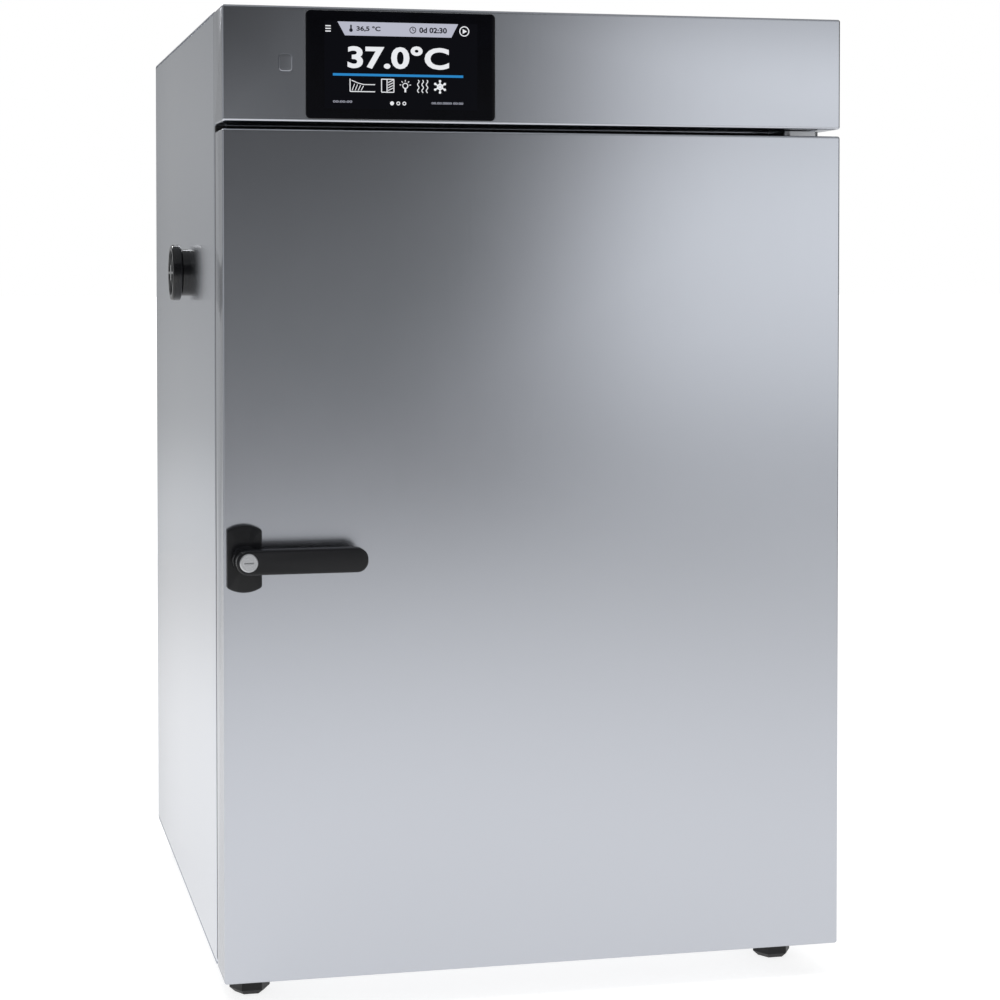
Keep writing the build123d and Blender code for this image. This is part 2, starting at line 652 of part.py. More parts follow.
# Door skin: a folded tray with the front face and four sides, cut away for the lower bracket.
rebate_x = (PIVOT_X - LOWER_REACH - REBATE_SIDE, RIGHT + 1)
rebate_y = (FRONT + REBATE_FRONT, DOOR_BACK + 1)
with BuildPart() as door_skin:
    block((LEFT, RIGHT), (FRONT, DOOR_BACK - SHEET), (BASE, DOOR_TOP))
    edges = door_skin.faces().sort_by(Axis.Y)[0].edges() + door_skin.edges().filter_by(Axis.Y)
    fillet(edges, EDGE_RADIUS)
    offset(amount=-SHEET, openings=door_skin.faces().sort_by(Axis.Y)[-1])
    block(rebate_x, rebate_y, (BASE - 1, REBATE_TOP), Mode.SUBTRACT)
    rod_z(PIVOT_X, PIVOT_Y, BUSH_RADIUS + SEAT_GAP, (DOOR_TOP - SHEET, DOOR_TOP), Mode.SUBTRACT)
    rod_y(HANDLE_X, HANDLE_Z, SPINDLE_RADIUS + SPINDLE_GAP, (FRONT, FRONT + SHEET), Mode.SUBTRACT)
door_skin.part.label = "door_skin"
export_step(door_skin.part, "parts/door_skin.step")

# Door inner panel: the rear sheet of the door, with a pressed pad that enters the chamber mouth.
pad_width = CHAMBER_WIDTH - 2 * PAD_MARGIN
pad_height = CHAMBER_HEIGHT - 2 * PAD_MARGIN
with BuildPart() as door_inner_panel:
    rounded_slab(
        MIDDLE, (BASE + DOOR_TOP) / 2, DOOR_BACK - SHEET, CABINET_WIDTH - 2 * SEAT_GAP,
        DOOR_HEIGHT - 2 * SEAT_GAP, SHEET, EDGE_RADIUS,
    )
    rounded_slab(MIDDLE, CHAMBER_CENTRE, DOOR_BACK, pad_width, pad_height, PAD_RISE, CHAMBER_RADIUS)
    fillet(door_inner_panel.faces().sort_by(Axis.Y)[-1].edges(), PAD_EDGE)
    rounded_slab(
        MIDDLE, CHAMBER_CENTRE, DOOR_BACK - SHEET, pad_width - 2 * SHEET, pad_height - 2 * SHEET,
        PAD_RISE, CHAMBER_RADIUS - SHEET, Mode.SUBTRACT,
    )
    block(rebate_x, rebate_y, (BASE - 1, REBATE_TOP), Mode.SUBTRACT)
    hole_y = (DOOR_BACK - SHEET, DOOR_BACK)
    rod_y(HANDLE_X, HANDLE_Z, SPINDLE_RADIUS + SPINDLE_GAP, hole_y, Mode.SUBTRACT)
door_inner_panel.part.label = "door_inner_panel"
export_step(door_inner_panel.part, "parts/door_inner_panel.step")

# Hinge blocks: steel blocks in the door's corners that carry the bushes.
inside_y = (FRONT + SHEET, DOOR_BACK - SHEET)
block_x = (INNER_RIGHT - HINGE_BLOCK_WIDTH, RIGHT - EDGE_RADIUS)
block_y = (FRONT + EDGE_RADIUS, DOOR_BACK - SHEET)
upper_block_z = (DOOR_TOP - SHEET - HINGE_BLOCK_HEIGHT, DOOR_TOP - SHEET)
lower_block_z = (REBATE_TOP, REBATE_TOP + HINGE_BLOCK_HEIGHT)
with BuildPart() as hinge_blocks:
    for limits in (upper_block_z, lower_block_z):
        block(block_x, block_y, limits)
        rod_z(PIVOT_X, PIVOT_Y, BUSH_RADIUS + RUN_GAP, limits, Mode.SUBTRACT)
hinge_blocks.part.label = "hinge_blocks"
export_step(hinge_blocks.part, "parts/hinge_blocks.step")

# Hinge bushes: the lower one has a head that bears on the bracket and carries the door.
with BuildPart() as hinge_bushes:
    rod_z(PIVOT_X, PIVOT_Y, BUSH_RADIUS, (upper_block_z[0], DOOR_TOP))
    rod_z(PIVOT_X, PIVOT_Y, BUSH_RADIUS, lower_block_z)
    rod_z(PIVOT_X, PIVOT_Y, BUSH_HEAD_RADIUS, (lower_plate[1], REBATE_TOP))
    rod_z(PIVOT_X, PIVOT_Y, PIN_RADIUS + RUN_GAP, (BASE, DOOR_TOP), Mode.SUBTRACT)
hinge_bushes.part.label = "hinge_bushes"
export_step(hinge_bushes.part, "parts/hinge_bushes.step")

# Latch case: the block in the door that the handle's spindle turns in.
case_x = (HANDLE_X - CASE_WIDTH / 2, HANDLE_X + CASE_WIDTH / 2)
case_z = (HANDLE_Z - CASE_HEIGHT / 2, HANDLE_Z + CASE_HEIGHT / 2)
with BuildPart() as latch_case:
    block(case_x, inside_y, case_z)
    rod_y(HANDLE_X, HANDLE_Z, SPINDLE_RADIUS + RUN_GAP, inside_y, Mode.SUBTRACT)
latch_case.part.label = "latch_case"
export_step(latch_case.part, "parts/latch_case.step")

# Door insulation: a board that fills the door round the blocks and the latch case.
bend = EDGE_RADIUS
with BuildPart() as door_insulation:
    block((LEFT + bend, RIGHT - bend), inside_y, (BASE + bend, DOOR_TOP - bend))
    rounded_slab(
        MIDDLE, CHAMBER_CENTRE, DOOR_BACK - SHEET, pad_width - 2 * SHEET - SEAT_GAP,
        pad_height - 2 * SHEET - SEAT_GAP, PAD_RISE - SEAT_GAP, CHAMBER_RADIUS - SHEET,
    )
    block((LEFT, case_x[1]), (FRONT, DOOR_BACK), case_z, Mode.SUBTRACT)
    block((block_x[0], RIGHT), (FRONT, DOOR_BACK), (upper_block_z[0], DOOR_TOP), Mode.SUBTRACT)
    block((block_x[0], RIGHT), (FRONT, DOOR_BACK), (BASE, lower_block_z[1]), Mode.SUBTRACT)
door_insulation.part.label = "door_insulation"
export_step(door_insulation.part, "parts/door_insulation.step")

# Door gasket: a soft ring on the inner panel that meets the front frame round the mouth.
with BuildPart() as door_gasket:
    with BuildSketch(facing(DOOR_BACK)):
        with Locations((MIDDLE, CHAMBER_CENTRE)):
            RectangleRounded(
                CHAMBER_WIDTH + 2 * GASKET_MARGIN, CHAMBER_HEIGHT + 2 * GASKET_MARGIN,
                CHAMBER_RADIUS + GASKET_WIDTH,
            )
            inner = GASKET_MARGIN - GASKET_WIDTH
            RectangleRounded(
                CHAMBER_WIDTH + 2 * inner, CHAMBER_HEIGHT + 2 * inner, CHAMBER_RADIUS, mode=Mode.SUBTRACT
            )
    extrude(amount=-(FRAME_FACE - SEAT_GAP - DOOR_BACK))
    fillet(door_gasket.faces().sort_by(Axis.Y)[-1].edges(), GASKET_BULB)
door_gasket.part.label = "door_gasket"
export_step(door_gasket.part, "parts/door_gasket.step")

# Handle plate: a black escutcheon with straight sides and arched ends.
with BuildPart() as handle_plate:
    with BuildSketch(facing(FRONT)) as outline:
        with BuildLine():
            half = PLATE_WIDTH / 2
            shoulder = PLATE_SHOULDER / 2
            corner = [(HANDLE_X + x, HANDLE_Z + z) for x in (-half, half) for z in (-shoulder, shoulder)]
            Line(corner[0], corner[1])
            ThreePointArc(corner[1], (HANDLE_X, HANDLE_Z + PLATE_HEIGHT / 2), corner[3])
            Line(corner[3], corner[2])
            ThreePointArc(corner[2], (HANDLE_X, HANDLE_Z - PLATE_HEIGHT / 2), corner[0])
        make_face()
        fillet(outline.vertices(), PLATE_CORNER)
    extrude(amount=PLATE_THICKNESS)
    fillet(handle_plate.faces().sort_by(Axis.Y)[0].edges(), PLATE_THICKNESS / 5)
    hole_y = (FRONT - PLATE_THICKNESS, FRONT)
    rod_y(HANDLE_X, HANDLE_Z, SPINDLE_RADIUS + SPINDLE_GAP, hole_y, Mode.SUBTRACT)
handle_plate.part.label = "handle_plate"
export_step(handle_plate.part, "parts/handle_plate.step")

# Handle lever: a flat grip with round ends on a hub, bored for the lock and the spindle.
LEVER_BACK = FRONT - LEVER_FACE + LEVER_THICKNESS
HUB_BACK = FRONT - PLATE_THICKNESS - SEAT_GAP
LOCK_FRONT = FRONT - LEVER_FACE - LOCK_PROUD
SPINDLE_FRONT = HUB_BACK - SPINDLE_SEAT
with BuildPart() as handle_lever:
    with BuildSketch(facing(LEVER_BACK)) as outline:
        with Locations((HANDLE_X, HANDLE_Z)):
            Rectangle(LEVER_REACH, 2 * LEVER_HALF_HEIGHT, align=(Align.MIN, Align.CENTER))
        fillet(outline.vertices().group_by(Axis.X)[-1], LEVER_END_RADIUS)
        with Locations((HANDLE_X, HANDLE_Z)):
            Circle(LEVER_HALF_HEIGHT)
    extrude(amount=LEVER_THICKNESS)
    fillet(handle_lever.faces().sort_by(Axis.Y)[0].edges(), LEVER_EDGE)
    rod_y(HANDLE_X, HANDLE_Z, HUB_RADIUS, (LEVER_BACK, HUB_BACK))
    rod_y(HANDLE_X, HANDLE_Z, LOCK_RADIUS + RUN_GAP, (LOCK_FRONT, LOCK_FRONT + LOCK_DEPTH), Mode.SUBTRACT)
    rod_y(HANDLE_X, HANDLE_Z, SPINDLE_RADIUS + RUN_GAP, (SPINDLE_FRONT, HUB_BACK), Mode.SUBTRACT)
handle_lever.part.label = "handle_lever"
export_step(handle_lever.part, "parts/handle_lever.step")

# Lock barrel: a round cylinder lock in the lever's face, with its keyway.
with BuildPart() as lock_barrel:
    rod_y(HANDLE_X, HANDLE_Z, LOCK_RADIUS, (LOCK_FRONT, LOCK_FRONT + LOCK_DEPTH - RUN_GAP))
    chamfer(lock_barrel.faces().sort_by(Axis.Y)[0].edges(), LOCK_PROUD)
    block(
        (HANDLE_X - KEYWAY_LENGTH / 2, HANDLE_X + KEYWAY_LENGTH / 2),
        (LOCK_FRONT, LOCK_FRONT + KEYWAY_DEPTH),
        (HANDLE_Z - KEYWAY_WIDTH / 2, HANDLE_Z + KEYWAY_WIDTH / 2),
        Mode.SUBTRACT,
    )
lock_barrel.part.label = "lock_barrel"
export_step(lock_barrel.part, "parts/lock_barrel.step")

# Latch spindle: runs through the door and ends in a hook that enters the frame's catch slot.
arm_y = (DOOR_BACK + CATCH_GAP, DOOR_BACK + CATCH_GAP + CATCH_PLATE)
arm_x = (HANDLE_X - CATCH_WIDTH / 2, HANDLE_X + CATCH_WIDTH / 2)
hook_z = (HANDLE_Z + CATCH_RADIUS - CATCH_WIDTH / 2, HANDLE_Z + CATCH_RADIUS + CATCH_WIDTH / 2)
with BuildPart() as latch_spindle:
    rod_y(HANDLE_X, HANDLE_Z, SPINDLE_RADIUS, (SPINDLE_FRONT + RUN_GAP, arm_y[1]))
    rod_y(HANDLE_X, HANDLE_Z, CATCH_WIDTH, arm_y)
    block(arm_x, arm_y, (HANDLE_Z, hook_z[1]))
    block(arm_x, (arm_y[0], FRAME_BACK + CATCH_REACH), hook_z)
latch_spindle.part.label = "latch_spindle"
export_step(latch_spindle.part, "parts/latch_spindle.step")

# Latch keeper: a steel pocket behind the frame's catch slot.
with BuildPart() as latch_keeper:
    block(keeper_x, (FRAME_BACK, KEEPER_BACK), keeper_z)
    offset(amount=-CATCH_WALL, openings=latch_keeper.faces().sort_by(Axis.Y)[0])
latch_keeper.part.label = "latch_keeper"
export_step(latch_keeper.part, "parts/latch_keeper.step")

# Control fascia: a folded box over the door with the display window and the button hole.
GLASS_X = LEFT + GLASS_LEFT + GLASS_WIDTH / 2
GLASS_Z = CONTROL_BASE + GLASS_ABOVE_EDGE + GLASS_HEIGHT / 2
BUTTON_X = LEFT + BUTTON_INSET
BUTTON_Z = CONTROL_BASE + BUTTON_ABOVE_EDGE
with BuildPart() as control_fascia:
    block((LEFT, RIGHT), (FRONT, BODY), (CONTROL_BASE, TOP))
    edges = control_fascia.faces().sort_by(Axis.Y)[0].edges() + control_fascia.edges().filter_by(Axis.Y)
    fillet(edges, EDGE_RADIUS)
    offset(amount=-SHEET, openings=control_fascia.faces().sort_by(Axis.Y)[-1])
    rounded_slab(
        GLASS_X, GLASS_Z, FRONT - 1, GLASS_WIDTH + 2 * SEAT_GAP, GLASS_HEIGHT + 2 * SEAT_GAP,
        SHEET + 2, GLASS_CORNER + SEAT_GAP, Mode.SUBTRACT,
    )
    rounded_slab(
        BUTTON_X, BUTTON_Z, FRONT - 1, BUTTON_WIDTH + 2 * SEAT_GAP, BUTTON_HEIGHT + 2 * SEAT_GAP,
        SHEET + 2, BUTTON_CORNER + SEAT_GAP, Mode.SUBTRACT,
    )
control_fascia.part.label = "control_fascia"
export_step(control_fascia.part, "parts/control_fascia.step")

# Display glass: the black front pane of the touch screen.
with BuildPart() as display_glass:
    rounded_slab(
        GLASS_X, GLASS_Z, FRONT - GLASS_PROUD, GLASS_WIDTH, GLASS_HEIGHT, GLASS_PROUD + SHEET, GLASS_CORNER
    )
    fillet(display_glass.faces().sort_by(Axis.Y)[0].edges(), GLASS_PROUD / 2)
display_glass.part.label = "display_glass"
export_step(display_glass.part, "parts/display_glass.step")

# Display module: the panel and its metal back behind the glass.
with BuildPart() as display_module:
    rounded_slab(
        GLASS_X, GLASS_Z, FRONT + SHEET, GLASS_WIDTH + 2 * MODULE_SIDE,
        GLASS_HEIGHT + 2 * MODULE_EDGE, MODULE_DEPTH / 3, GLASS_CORNER,
    )
    rounded_slab(
        GLASS_X, GLASS_Z, FRONT + SHEET, GLASS_WIDTH - 2 * MODULE_SIDE,
        GLASS_HEIGHT - 2 * MODULE_SIDE, MODULE_DEPTH, GLASS_CORNER,
    )
display_module.part.label = "display_module"
export_step(display_module.part, "parts/display_module.step")

# Power button: a satin steel key with a collar behind the fascia and a stem into the switch.
COLLAR_FRONT = FRONT + SHEET + SEAT_GAP
COLLAR_BACK = COLLAR_FRONT + BUTTON_COLLAR
SWITCH_FRONT = COLLAR_BACK + BUTTON_TRAVEL + SEAT_GAP
with BuildPart() as power_button:
    rounded_slab(
        BUTTON_X, BUTTON_Z, FRONT - BUTTON_PROUD, BUTTON_WIDTH, BUTTON_HEIGHT,
        COLLAR_BACK - FRONT + BUTTON_PROUD, BUTTON_CORNER,
    )
    fillet(power_button.faces().sort_by(Axis.Y)[0].edges(), BUTTON_PROUD / 3)
    rounded_slab(
        BUTTON_X, BUTTON_Z, COLLAR_FRONT, BUTTON_WIDTH + 2 * BUTTON_LIP, BUTTON_HEIGHT + 2 * BUTTON_LIP,
        BUTTON_COLLAR, BUTTON_CORNER + BUTTON_LIP,
    )
    rod_y(BUTTON_X, BUTTON_Z, STEM_RADIUS, (COLLAR_BACK, COLLAR_BACK + STEM_LENGTH))
power_button.part.label = "power_button"
export_step(power_button.part, "parts/power_button.step")

# Button switch: the housing behind the button, on two legs against the fascia.
leg_in = BUTTON_WIDTH / 2 + BUTTON_LIP + SEAT_GAP
leg_out = leg_in + SWITCH_LEG
with BuildPart() as button_switch:
    switch_x = (BUTTON_X - leg_out, BUTTON_X + leg_out)
    switch_z = (BUTTON_Z - SWITCH_HEIGHT / 2, BUTTON_Z + SWITCH_HEIGHT / 2)
    block(switch_x, (FRONT + SHEET, SWITCH_FRONT + SWITCH_DEPTH), switch_z)
    block((BUTTON_X - leg_in, BUTTON_X + leg_in), (FRONT + SHEET, SWITCH_FRONT), switch_z, Mode.SUBTRACT)
    bore_y = (SWITCH_FRONT, SWITCH_FRONT + SWITCH_DEPTH)
    rod_y(BUTTON_X, BUTTON_Z, STEM_RADIUS + RUN_GAP, bore_y, Mode.SUBTRACT)
button_switch.part.label = "button_switch"
export_step(button_switch.part, "parts/button_switch.step")

# Port sleeve: a tube through the left wall, with a flange on the outside.
with BuildPart() as port_sleeve:
    rod_x(PORT_Y, PORT_Z, PORT_FLANGE_RADIUS, (LEFT - PORT_FLANGE, LEFT))
    fillet(port_sleeve.faces().sort_by(Axis.X)[0].edges(), CAP_EDGE)
    rod_x(PORT_Y, PORT_Z, PORT_TUBE, (LEFT, CHAMBER_LEFT))
    rod_x(PORT_Y, PORT_Z, PORT_BORE, (LEFT - PORT_FLANGE, CHAMBER_LEFT), Mode.SUBTRACT)
port_sleeve.part.label = "port_sleeve"
export_step(port_sleeve.part, "parts/port_sleeve.step")

# Port cap: a black plug with a ribbed dish in its face.
CAP_FACE = LEFT - PORT_PROUD
CAP_BACK = LEFT - PORT_FLANGE
with BuildPart() as port_cap:
    rod_x(PORT_Y, PORT_Z, CAP_RADIUS, (CAP_FACE, CAP_BACK))
    fillet(port_cap.edges(), CAP_EDGE)
    dish_x = (CAP_FACE, CAP_FACE + CAP_RECESS)
    rod_x(PORT_Y, PORT_Z, CAP_RADIUS - CAP_RIM, dish_x, Mode.SUBTRACT)
    rod_x(PORT_Y, PORT_Z, CAP_BOSS, dish_x)
    with BuildSketch(Plane.YZ.offset(dish_x[0])):
        with Locations((PORT_Y, PORT_Z)):
            with PolarLocations((CAP_BOSS + CAP_RADIUS - CAP_RIM) / 2, CAP_RIBS):
                Rectangle(CAP_RADIUS - CAP_RIM - CAP_BOSS + 1, CAP_RIB_WIDTH)
    extrude(amount=CAP_RECESS)
    rod_x(PORT_Y, PORT_Z, PORT_BORE - SEAT_GAP, (CAP_BACK, CAP_BACK + CAP_PLUG))
port_cap.part.label = "port_cap"
export_step(port_cap.part, "parts/port_cap.step")

# Feet: black hexagonal levelling feet, each with a stud into a nut on the base pan.
foot_names = ["foot_front_left", "foot_front_right", "foot_rear_left", "foot_rear_right"]
for foot_name, (foot_x, foot_y) in zip(foot_names, foot_places):
    with BuildPart() as foot:
        with BuildSketch():
            with Locations((foot_x, foot_y)):
                RegularPolygon(FOOT_ACROSS_FLATS / 2, 6, major_radius=False)
        extrude(amount=FOOT_HEIGHT)
        chamfer(foot.faces().sort_by(Axis.Z)[0].edges(), FOOT_CHAMFER)
        rod_z(foot_x, foot_y, STUD_RADIUS, (BASE, BASE + STUD_LENGTH))
    foot.part.label = foot_name
    export_step(foot.part, f"parts/{foot_name}.step")
with BuildPart() as foot_nuts:
    with BuildSketch(Plane.XY.offset(BASE + SHEET)):
        with Locations(*foot_places):
            RegularPolygon(NUT_ACROSS_FLATS / 2, 6, major_radius=False)
            Circle(STUD_RADIUS + RUN_GAP, mode=Mode.SUBTRACT)
    extrude(amount=NUT_HEIGHT)
foot_nuts.part.label = "foot_nuts"
export_step(foot_nuts.part, "parts/foot_nuts.step")

# Shelf uprights: slotted channels on the chamber's side walls, two to a side.
upright_front = FRAME_BACK + UPRIGHT_INSET
upright_rear = BAFFLE_FACE - UPRIGHT_INSET
upright_z = (CHAMBER_BASE + UPRIGHT_END, CHAMBER_TOP - UPRIGHT_END)
slot_count = int((CHAMBER_HEIGHT - 2 * FIRST_SLOT) / SLOT_PITCH) + 1
slot_heights = [CHAMBER_BASE + FIRST_SLOT + step * SLOT_PITCH for step in range(slot_count)]
with BuildPart() as shelf_uprights:
    for wall, inward, fold_side in ((CHAMBER_LEFT, 1, Side.LEFT), (CHAMBER_RIGHT, -1, Side.RIGHT)):
        face = wall + inward * UPRIGHT_DEPTH
        for centre in (upright_front, upright_rear):
            with BuildSketch(Plane.XY.offset(upright_z[0])):
                with BuildLine():
                    Polyline(
                        (wall, centre - UPRIGHT_WIDTH / 2),
                        (face, centre - UPRIGHT_WIDTH / 2),
                        (face, centre + UPRIGHT_WIDTH / 2),
                        (wall, centre + UPRIGHT_WIDTH / 2),
                    )
                    offset(amount=UPRIGHT_SHEET, side=fold_side)
                make_face()
            extrude(amount=upright_z[1] - upright_z[0])
            for slot_z in slot_heights:
                with Locations((face, centre, slot_z)):
                    Box(2 * UPRIGHT_SHEET + 1, SLOT_WIDTH, SLOT_HEIGHT, mode=Mode.SUBTRACT)
shelf_uprights.part.label = "shelf_uprights"
export_step(shelf_uprights.part, "parts/shelf_uprights.step")

# Shelf runners: angles hooked into the uprights, with a stop at each end of the ledge.
runner_y = (FRAME_BACK + RUNNER_MARGIN, BAFFLE_FACE - RUNNER_MARGIN)
with BuildPart() as shelf_runners:
    for level in SHELF_LEVELS:
        hook_height = slot_heights[level]
        low = hook_height - RUNNER_HEIGHT / 2
        for wall, inward in ((CHAMBER_LEFT, 1), (CHAMBER_RIGHT, -1)):
            face = wall + inward * UPRIGHT_DEPTH
            web = sorted((face, face + inward * RUNNER_SHEET))
            ledge = sorted((face, face + inward * (RUNNER_SHEET + RUNNER_LEDGE)))
            tab = sorted((face, face - inward * (UPRIGHT_SHEET + HOOK_LENGTH)))
            block(web, runner_y, (low, low + RUNNER_HEIGHT))
            block(ledge, runner_y, (low, low + RUNNER_SHEET))
            for stop in (runner_y[0], runner_y[1] - RUNNER_SHEET):
                block(ledge, (stop, stop + RUNNER_SHEET), (low, low + RUNNER_STOP))
            for centre in (upright_front, upright_rear):
                tab_y = (centre - SLOT_WIDTH / 2 + SEAT_GAP, centre + SLOT_WIDTH / 2 - SEAT_GAP)
                tab_z = (hook_height - SLOT_HEIGHT / 2 + SEAT_GAP, hook_height + SLOT_HEIGHT / 2 - SEAT_GAP)
                block(tab, tab_y, tab_z)
shelf_runners.part.label = "shelf_runners"
export_step(shelf_runners.part, "parts/shelf_runners.step")

# Wire shelves: a frame of round rod with a middle rod, and grid wires welded across.
shelf_half = CHAMBER_WIDTH / 2 - UPRIGHT_DEPTH - RUNNER_SHEET - SHELF_SIDE_PLAY
shelf_y = (runner_y[0] + RUNNER_SHEET + SEAT_GAP + SHELF_PLAY, runner_y[1] - RUNNER_SHEET - SEAT_GAP)
shelf_depth = shelf_y[1] - shelf_y[0]
wire_count = int((2 * shelf_half - 4 * FRAME_ROD) / GRID_PITCH)
shelf_centre = (MIDDLE, (shelf_y[0] + shelf_y[1]) / 2)
with BuildPart() as wire_shelf:
    with BuildSketch(mode=Mode.PRIVATE) as rim:
        with Locations(shelf_centre):
            RectangleRounded(2 * (shelf_half - FRAME_ROD), shelf_depth - 2 * FRAME_ROD, ROD_CORNER)
    rim_path = rim.sketch.face().outer_wire()
    with BuildSketch(Plane(rim_path @ 0, z_dir=rim_path % 0)):
        Circle(FRAME_ROD)
    sweep(path=rim_path)
    cross_x = (MIDDLE - shelf_half + FRAME_ROD, MIDDLE + shelf_half - FRAME_ROD)
    rod_x(shelf_centre[1], FRAME_ROD - CROSS_ROD, CROSS_ROD, cross_x)
    with BuildSketch(facing(shelf_y[0] + FRAME_ROD / 2)):
        with Locations((MIDDLE, FRAME_ROD + GRID_WIRE - GRID_SINK)):
            with GridLocations(GRID_PITCH, 1, wire_count, 1):
                Circle(GRID_WIRE)
    extrude(amount=FRAME_ROD - shelf_depth)
for shelf_name, level in zip(("shelf_lower", "shelf_upper"), SHELF_LEVELS):
    rod_height = slot_heights[level] - RUNNER_HEIGHT / 2 + RUNNER_SHEET + SEAT_GAP + FRAME_ROD
    with BuildPart() as shelf:
        with Locations((0, 0, rod_height)):
            add(wire_shelf.part)
    shelf.part.label = shelf_name
    export_step(shelf.part, f"parts/{shelf_name}.step")

# Air baffle: a tray over the rear wall with the fan's intake grille and two columns of outlets.
baffle_x = (CHAMBER_LEFT + BAFFLE_MARGIN, CHAMBER_RIGHT - BAFFLE_MARGIN)
baffle_z = (CHAMBER_BASE + BAFFLE_MARGIN, CHAMBER_TOP - BAFFLE_MARGIN)
outlet_pitch = (baffle_z[1] - baffle_z[0] - 2 * OUTLET_END - OUTLET_HEIGHT) / (OUTLET_COUNT - 1)
with BuildPart() as air_baffle:
    block(baffle_x, (BAFFLE_FACE, CHAMBER_BACK), baffle_z)
    edges = air_baffle.faces().sort_by(Axis.Y)[0].edges() + air_baffle.edges().filter_by(Axis.Y)
    fillet(edges, BAFFLE_RADIUS)
    offset(amount=-LINER_SHEET, openings=air_baffle.faces().sort_by(Axis.Y)[-1])
    with BuildSketch(facing(BAFFLE_FACE)):
        with Locations((MIDDLE, FAN_Z)):
            with PolarLocations((INTAKE_INNER + INTAKE_OUTER) / 2, INTAKE_SLOTS):
                Rectangle(INTAKE_OUTER - INTAKE_INNER, INTAKE_WIDTH)
        with Locations((MIDDLE, CHAMBER_CENTRE)):
            with GridLocations(baffle_x[1] - baffle_x[0] - 2 * OUTLET_INSET, outlet_pitch, 2, OUTLET_COUNT):
                Rectangle(OUTLET_WIDTH, OUTLET_HEIGHT)
        with Locations(*probe_places):
            Circle(PROBE_RADIUS + SEAT_GAP)
    extrude(amount=-LINER_SHEET, mode=Mode.SUBTRACT)
air_baffle.part.label = "air_baffle"
export_step(air_baffle.part, "parts/air_baffle.step")

# Fan impeller: back plate, leaning blades and a front ring round the eye, on a hub.
FAN_BACK = CHAMBER_BACK - FAN_BACK_GAP
BLADE_BACK = FAN_BACK - FAN_PLATE
BLADE_FRONT = BLADE_BACK - FAN_WIDTH
with BuildPart() as fan_impeller:
    rod_y(MIDDLE, FAN_Z, FAN_RADIUS, (BLADE_BACK, FAN_BACK))
    rod_y(MIDDLE, FAN_Z, HUB_BOSS_RADIUS, (BLADE_BACK - FAN_WIDTH / 2, FAN_BACK))
    with BuildSketch(facing(BLADE_BACK)):
        with Locations((MIDDLE, FAN_Z)):
            with PolarLocations((FAN_EYE + FAN_RADIUS) / 2, FAN_BLADES):
                Rectangle(FAN_RADIUS - FAN_EYE, BLADE_SHEET, rotation=BLADE_LEAN)
    extrude(amount=FAN_WIDTH)
    with BuildSketch(facing(BLADE_FRONT)):
        with Locations((MIDDLE, FAN_Z)):
            Circle(FAN_RADIUS)
            Circle(FAN_EYE, mode=Mode.SUBTRACT)
    extrude(amount=FAN_PLATE)
    rod_y(MIDDLE, FAN_Z, SHAFT_RADIUS + RUN_GAP, (BLADE_FRONT - FAN_PLATE, FAN_BACK), Mode.SUBTRACT)
fan_impeller.part.label = "fan_impeller"
export_step(fan_impeller.part, "parts/fan_impeller.step")

# Fan shaft: from the impeller's hub through the insulation into the motor.
MOTOR_FRONT = BULKHEAD_BACK + MOTOR_STANDOFF
with BuildPart() as fan_shaft:
    rod_y(MIDDLE, FAN_Z, SHAFT_RADIUS, (BLADE_BACK - FAN_WIDTH / 2, MOTOR_FRONT + MOTOR_SEAT))
    chamfer(fan_shaft.edges(), SHAFT_RADIUS / 8)
fan_shaft.part.label = "fan_shaft"
export_step(fan_shaft.part, "parts/fan_shaft.step")

# Fan motor: a round can with grooves between its end bells, bored for the shaft.
with BuildPart() as fan_motor:
    rod_y(MIDDLE, FAN_Z, MOTOR_RADIUS, (MOTOR_FRONT, MOTOR_FRONT + MOTOR_LENGTH))
    chamfer(fan_motor.edges().filter_by(GeomType.CIRCLE), MOTOR_EDGE)
    for groove in range(MOTOR_GROOVES):
        groove_y = MOTOR_FRONT + MOTOR_LENGTH * (groove + 1.5) / (MOTOR_GROOVES + 2)
        with BuildSketch(facing(groove_y)) as ring:
            with Locations((MIDDLE, FAN_Z)):
                Circle(MOTOR_RADIUS)
                Circle(MOTOR_RADIUS - MOTOR_EDGE / 3, mode=Mode.SUBTRACT)
        extrude(amount=MOTOR_EDGE / 2, mode=Mode.SUBTRACT)
    rod_y(MIDDLE, FAN_Z, SHAFT_RADIUS + RUN_GAP, (MOTOR_FRONT, MOTOR_FRONT + MOTOR_SEAT), Mode.SUBTRACT)
fan_motor.part.label = "fan_motor"
export_step(fan_motor.part, "parts/fan_motor.step")

# Motor mount: a hat-shaped strap on the bulkhead with the motor on its crown.
crown = MOUNT_WIDTH / 2
foot_y = BULKHEAD_BACK + MOUNT_SHEET
with BuildPart() as motor_mount:
    with BuildSketch(Plane.XY.offset(FAN_Z - MOUNT_BAND / 2)):
        with BuildLine():
            Polyline(
                (MIDDLE - crown - MOUNT_FOOT, foot_y),
                (MIDDLE - crown, foot_y),
                (MIDDLE - crown, MOTOR_FRONT),
                (MIDDLE + crown, MOTOR_FRONT),
                (MIDDLE + crown, foot_y),
                (MIDDLE + crown + MOUNT_FOOT, foot_y),
            )
            offset(amount=MOUNT_SHEET, side=Side.RIGHT)
        make_face()
    extrude(amount=MOUNT_BAND)
    hole_y = (MOTOR_FRONT - 2 * MOUNT_SHEET, MOTOR_FRONT)
    rod_y(MIDDLE, FAN_Z, SHAFT_RADIUS + SHAFT_HOLE_GAP, hole_y, Mode.SUBTRACT)
motor_mount.part.label = "motor_mount"
export_step(motor_mount.part, "parts/motor_mount.step")

